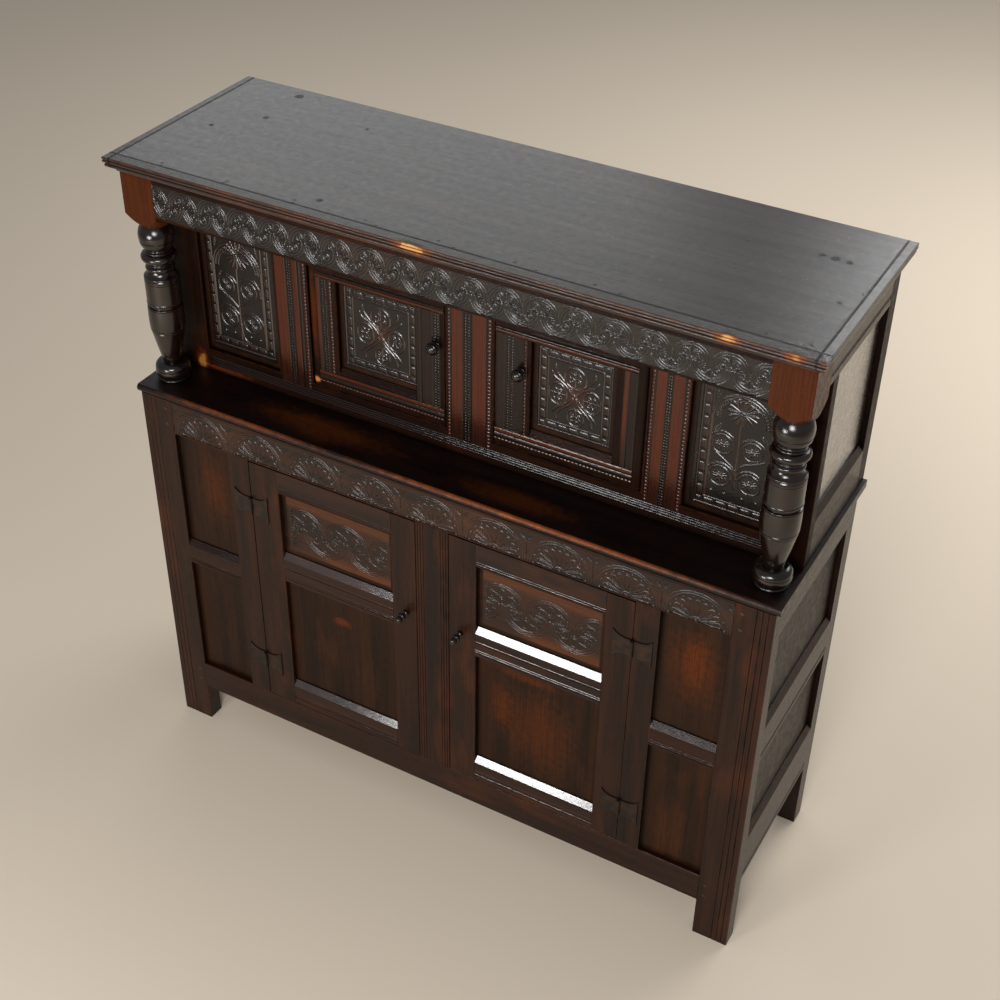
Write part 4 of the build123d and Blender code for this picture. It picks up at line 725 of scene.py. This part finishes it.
def tall_panel(top, side):
    """Rosette in a round arch over a stem with four round flowers; beads beside and below it."""
    layout = TALL[side]
    centre, spring, radius = layout["arch"]
    stem_x, stem_top, stem_foot = layout["stem"]
    sill = layout["sill"]
    width, bead = 18.0, 28.5
    reach = radius + 3

    def arch(u, v):
        """Three ridges and a row of dots; below the spring only the outer ridge goes on."""
        away = np.where(v > spring, np.hypot(u - centre, v - spring), np.abs(u - centre))
        dots = np.degrees(np.arctan2(v - spring, u - centre)) / DOT_TURN % 1 - 0.5
        dots = ridge(np.hypot(away - radius + DOT_INSET,
                              dots * DOT_TURN * math.pi / 180 * radius), 2.4, 3.0)
        lines = [ridge(np.abs(away - radius + inset), half) for inset, half in ARCH_LINES]
        shape = np.where(v > spring, highest(dots, *lines), np.where(v > sill, lines[0], 0))
        return shape, away

    def sprays(u, v, away):
        """Split leaves in the corners over the arch, and one at each side under its spring."""
        shape = []
        for turn in (-1, 1):
            x = turn * (u - centre)
            both = highest(leaf(x, v, (radius - 22, top - 4), (radius - 2, top - 14), 9),
                           leaf(x, v, (radius - 14, top - 30), (radius - 6, top - 66), 7),
                           leaf(x, v, (radius - 20, spring - 14), (radius - 8, spring - 34), 8))
            shape.append(np.where((away > radius + 2) | (v < spring - 4), both, 0))
        return highest(*shape)

    def relief(u, v):
        round_arch, away = arch(u, v)
        shape = [sunflower(u, v, layout["rosette"][:2], layout["rosette"][2]), round_arch,
                 rod(u, v, (stem_x, stem_top), (stem_x, stem_foot), 1.9),
                 boss(u, v, (stem_x, sill), 7, 2.6), sprays(u, v, away)]
        shape += [flower(u, v, (x, z), r) for x, z, r in layout["flowers"]]
        shape += [stalk(u, v, points, 1.8) for points in layout["stalks"]]
        shape += [bow(u, v, (x, z), (r, r), start, sweep, 1.6)
                  for x, z, r, start, sweep in layout["hoods"]]
        shape += [boss(u, v, place, 3.4) for place in layout["studs"]]
        border = beading(u, v, (centre - reach - width, sill - 3 - width),
                         (centre + reach + width, top + width), width, bead)
        border = np.where((np.abs(u - centre) > reach - 1.4) | (v < sill + 2), border, 0)
        shape = highest(border, *shape)
        return shape, 0.4 * step(shape, 0.7 * FACE, FACE)
    return relief


SCROLL_RADIUS, SCROLL_RISE = 60.5, 59
SCROLL_START = {"left": -361, "right": 174}  # X of the middle of a ring that stands up


def running_scroll(low, high, start):
    """Lower door's carving: interlaced half rings, an eyelet on a bead and two curled leaves in
    each; rubbed along its top and at one lower corner."""
    middle = (low[1] + high[1]) / 2 - 4
    bank = 9  # uncut wood at both ends

    def sprig(x, y):
        side = np.abs(x)
        return highest(ring(x, y, (0, 32), (8.5, 12), 1.9), boss(x, y, (-1, 14), 3.8),
                       bow(side, y, (22, 15), (15, 14), 10, 170, 1.6), boss(side, y, (27, 14), 3.2),
                       leaf(side, y, (6, 3), (44, 8), 9), leaf(side, y, (12, 28), (34, 33), 8, 3.4),
                       boss(side, y, (43, 19), 2.6), boss(x, y, (0, 0), 5))

    def relief(u, v):
        edge = np.minimum(u - low[0], high[0] - u)
        field = guilloche(u, v, start, middle, SCROLL_RADIUS, SCROLL_RISE, sprig)
        worn = 0.4 * step(u, low[0] + 70, low[0] + 150) * step(-v, -low[1] - 40, -low[1] - 5)
        worn = worn + 0.3 * step(v, high[1] - 34, high[1] - 12)
        return np.where(edge > bank, field, UNCUT), worn
    return relief


NICK_PITCH, STUD_PITCH = 9, 7  # millimetres from nick to nick of a bead, and from stud to stud


def strips(bands, upright=True):
    """Planted bands along z, or along x when not upright: (low, high, kind)."""
    def relief(u, v):
        across, along = (u, v) if upright else (v, u)
        shape, worn = np.full_like(u, 0.2), np.zeros_like(u)
        for low, high, kind in bands:
            middle, half = (low + high) / 2, (high - low) / 2
            away = np.abs(across - middle)
            if kind == "bead":       # half round, with nicks at an even pitch
                nick = np.abs(along % NICK_PITCH - NICK_PITCH / 2)
                nick = 1 - 0.6 * step(-nick, -1.6, -0.6)
                shape = np.maximum(shape, ridge(away, half, STRIP) * nick)
                worn = np.where(away < half, 0.25, worn)
            elif kind == "punched":  # two rows of small studs in a dark band
                dots = np.hypot(away - half * 0.45, along % STUD_PITCH - STUD_PITCH / 2)
                shape = np.maximum(shape, np.where(away < half, 0.3 + ridge(dots, 1.5, 1.0), 0))
            elif kind == "reed":
                shape = np.maximum(shape, ridge(away, half, STRIP))
            else:                    # flat strip, rubbed red where it is "worn"
                shape = np.maximum(shape, STRIP * 0.8 * step(half - away, 0, 1.2))
                if kind == "worn":
                    foot = along.min()
                    fade = step(along, foot + 20, foot + 110) if upright else 1.0
                    worn = np.where(away < half - 0.8, 0.12 + 0.48 * fade, worn)
        return shape, worn
    return relief


def close_behind(ground_y):
    """Close the active carved grid with straight sides and a flat back in its board."""
    bpy.ops.object.mode_set(mode="EDIT")
    bpy.ops.mesh.select_all(action="SELECT")
    bpy.ops.mesh.region_to_loop()
    bpy.ops.mesh.extrude_edges_move()
    bpy.ops.transform.resize(value=(1, 0, 1), center_override=(0, (ground_y + BACK) * MM, 0))
    bpy.ops.mesh.edge_face_add()
    bpy.ops.object.mode_set(mode="OBJECT")
    bpy.ops.object.shade_smooth_by_angle(angle=math.radians(60))


def carve(name, x_span, z_span, ground_y, relief, kind, grain="x", body="carcass", cut=FINE_CUT):
    """Carved field: a fine grid raised by its relief and closed behind, on its ground."""
    width, tall = x_span[1] - x_span[0], z_span[1] - z_span[0]
    bpy.ops.object.select_all(action="DESELECT")
    bpy.ops.mesh.primitive_grid_add(x_subdivisions=round(width / cut),
                                    y_subdivisions=round(tall / cut), size=1)
    piece = bpy.context.object
    piece.name = name
    mesh = piece.data
    flat = np.empty(len(mesh.vertices) * 3)
    mesh.vertices.foreach_get("co", flat)
    flat = flat.reshape(-1, 3) + 0.5
    u, v = x_span[0] + flat[:, 0] * width, z_span[0] + flat[:, 1] * tall
    height = relief(u, v)
    height, worn = height if isinstance(height, tuple) else (height, np.zeros_like(u))
    planted = kind == "strip"
    height = np.clip(height, 0 if planted else GROUND, FACE)
    marks = GOUGE_MARKS * (1 - height / FACE) * np.sin(u * 0.31 + 2 * np.sin(v * 0.23))
    marks = marks * np.sin(v * 0.37 + np.sin(u * 0.11))
    depth = ground_y - SKIN - height * (FACE - SKIN) / FACE - marks
    mesh.vertices.foreach_set("co", (np.column_stack([u, depth, v]) * MM).ravel())

    store_level(mesh, "relief", height / STRIP if planted else (height - GROUND) / (FACE - GROUND))
    slope_z, slope_x = np.gradient(height.reshape(round(tall / cut) + 1, -1), cut)
    store_level(mesh, "polish", np.hypot(slope_x, slope_z).ravel())
    store_level(mesh, "wear", worn)
    close_behind(ground_y)
    paint(piece, finish_of(kind, grain))
    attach(piece, body)


def store_level(mesh, name, values):
    """Store a value from 0 to 1 at each point, which the carved oak's colour follows."""
    level = mesh.attributes.new(name, "FLOAT", "POINT")
    level.data.foreach_set("value", np.clip(values, 0, 1).astype(np.float32))


def box_mm(name):
    """A node's lowest and highest corner in millimetres."""
    low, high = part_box(name)
    return [c / MM for c in low], [c / MM for c in high]


SUNK_MARGIN = 12.0            # plain wood left around a sunk panel's carving
TONGUE = 8.0                  # part of a panel that is hidden in its grooves
FRIEZE_MARGINS = (6.0, 31.0)  # plain wood under and over the frieze's carving
LUNETTE_MARGINS = (4.0, 8.0)

rail_low, rail_high = box_mm("frieze_rail")
post_inner = box_mm("right_turned_post")[0][0]
FRIEZE_X = (-post_inner, post_inner)
FRIEZE_Z = (rail_low[2] + FRIEZE_MARGINS[0], rail_high[2] - FRIEZE_MARGINS[1])
carve("carved_frieze", FRIEZE_X, FRIEZE_Z, rail_low[1] + FACE, frieze, "dark carving", cut=CUT)

rail_low, rail_high = box_mm("lunette_rail")
stile_inner = box_mm("right_front_stile")[0][0]
LUNETTE_X = (-stile_inner, stile_inner)
LUNETTE_Z = (rail_low[2] + LUNETTE_MARGINS[0], rail_high[2] - LUNETTE_MARGINS[1])
carve("carved_lunettes", LUNETTE_X, LUNETTE_Z, rail_low[1] + FACE, lunettes, "warm carving",
      cut=CUT)

for side in ("left", "right"):
    upper_door, lower_door = f"{side}_upper_door", f"{side}_lower_door"
    for part, node, body, kind, grain in (
            ("flower_stem", f"{side}_carved_panel", "carcass", "deep carving", "z"),
            ("door_cross", f"{upper_door}_panel", upper_door, "deep carving", "z"),
            ("running_scroll", f"{lower_door}_carved_panel", lower_door, "warm carving", "x")):
        low, high = box_mm(node)
        edge = TONGUE + SUNK_MARGIN
        low_corner, high_corner = (low[0] + edge, low[2] + edge), (high[0] - edge, high[2] - edge)
        if part == "flower_stem":
            relief = tall_panel(high_corner[1], side)
        elif part == "door_cross":
            relief = door_cross(low_corner, high_corner)
        else:
            relief = running_scroll(low_corner, high_corner, SCROLL_START[side])
        carve(f"{side}_{part}_carving", *zip(low_corner, high_corner), low[1] + FACE, relief, kind,
              grain, body)

# planted strips of the upper stage, over the muntins, the base rail and the doors' frames
MUNTIN_STRIPS = {
    "upper_centre_muntin": ((-39, -32, "bead"), (-29, -1, "worn"), (1, 19, "punched"),
                            (21, 56, "worn"), (58, 68, "bead")),
    "left_upper_muntin": ((-486, -457, "worn"), (-455, -442, "punched"), (-440, -425, "worn"),
                          (-423, -417, "reed"), (-413, -405, "bead")),
    "right_upper_muntin": ((438, 445, "bead"), (447, 470, "worn"), (471, 482, "punched"),
                           (483, 509, "worn"), (512, 520, "bead")),
}
BASE_LAP, HEAD_LAP = 18, 6  # the muntins' strips run on over the base rail and the head rail
REED = 4.4                  # width of one reed
BASE_REEDS = tuple((low, low + REED, "reed") for low in (1061.2, 1067.2, 1073.2, 1079.2))
BASE_REED_FIELD = (1060.5, 1084.5)
DOOR_MOULDINGS = {
    "low": ((1118, 1123.5, "bead"), (1125, 1136, "reed"), (1139, 1149, "worn")),
    "high": ((1389.5, 1396, "worn"), (1396.5, 1402, "reed")),
}
DOOR_STRIPS_Z = (1150.0, 1388.5)  # between the doors' mouldings
DOOR_STRIPS = {
    "left": (((-376, -366, "worn"), (-364, -346, "punched"), (-343, -336, "bead")),
             ((-119, -107, "flat"), (-105, -76, "flat"), (-74, -58, "punched"))),
    "right": (((81, 102, "flat"), (104, 125, "punched"), (148, 153, "bead")),
              ((377, 388, "worn"), (390, 406.5, "flat"))),
}
SWING_ROOM = 21.0  # left bare at a door's hinge edge, to clear the muntin as it swings
LOCK_ROOM = 1.5    # and at its other edge

rail_low, rail_high = box_mm("base_rail")
sight = (rail_high[2] - BASE_LAP, box_mm("head_rail")[0][2] + HEAD_LAP)
for name, bands in MUNTIN_STRIPS.items():
    carve(f"{name}_strips", (bands[0][0] - 1, bands[-1][1] + 1), sight, box_mm(name)[0][1],
          strips(bands), "strip", "z", cut=STRIP_CUT)

between = (box_mm("left_upper_front_stile")[1][0] + 1, box_mm("right_upper_front_stile")[0][0] - 1)
carve("base_rail_reeds", between, BASE_REED_FIELD, rail_low[1], strips(BASE_REEDS, False), "strip",
      cut=REED_CUT)

for side in ("left", "right"):
    low, high = box_mm(f"{side}_upper_door_stiles")
    left_room, right_room = (SWING_ROOM, LOCK_ROOM) if side == "left" else (LOCK_ROOM, SWING_ROOM)
    whole = (low[0] + left_room, high[0] - right_room)
    body = f"{side}_upper_door"
    for end, bands in DOOR_MOULDINGS.items():
        carve(f"{body}_{end}_moulding", whole, (bands[0][0] - 1, bands[-1][1] + 0.5), low[1],
              strips(bands, False), "strip", "x", body, STRIP_CUT)
    for edge, bands in zip(("left", "right"), DOOR_STRIPS[side]):
        span = (max(bands[0][0] - 1, whole[0]), min(bands[-1][1] + 1, whole[1]))
        carve(f"{body}_{edge}_strips", span, DOOR_STRIPS_Z, low[1], strips(bands), "strip", "z",
              body, STRIP_CUT)

set_camera()
set_studio()
paint_nodes()
bpy.context.scene.view_settings.view_transform = "Standard"
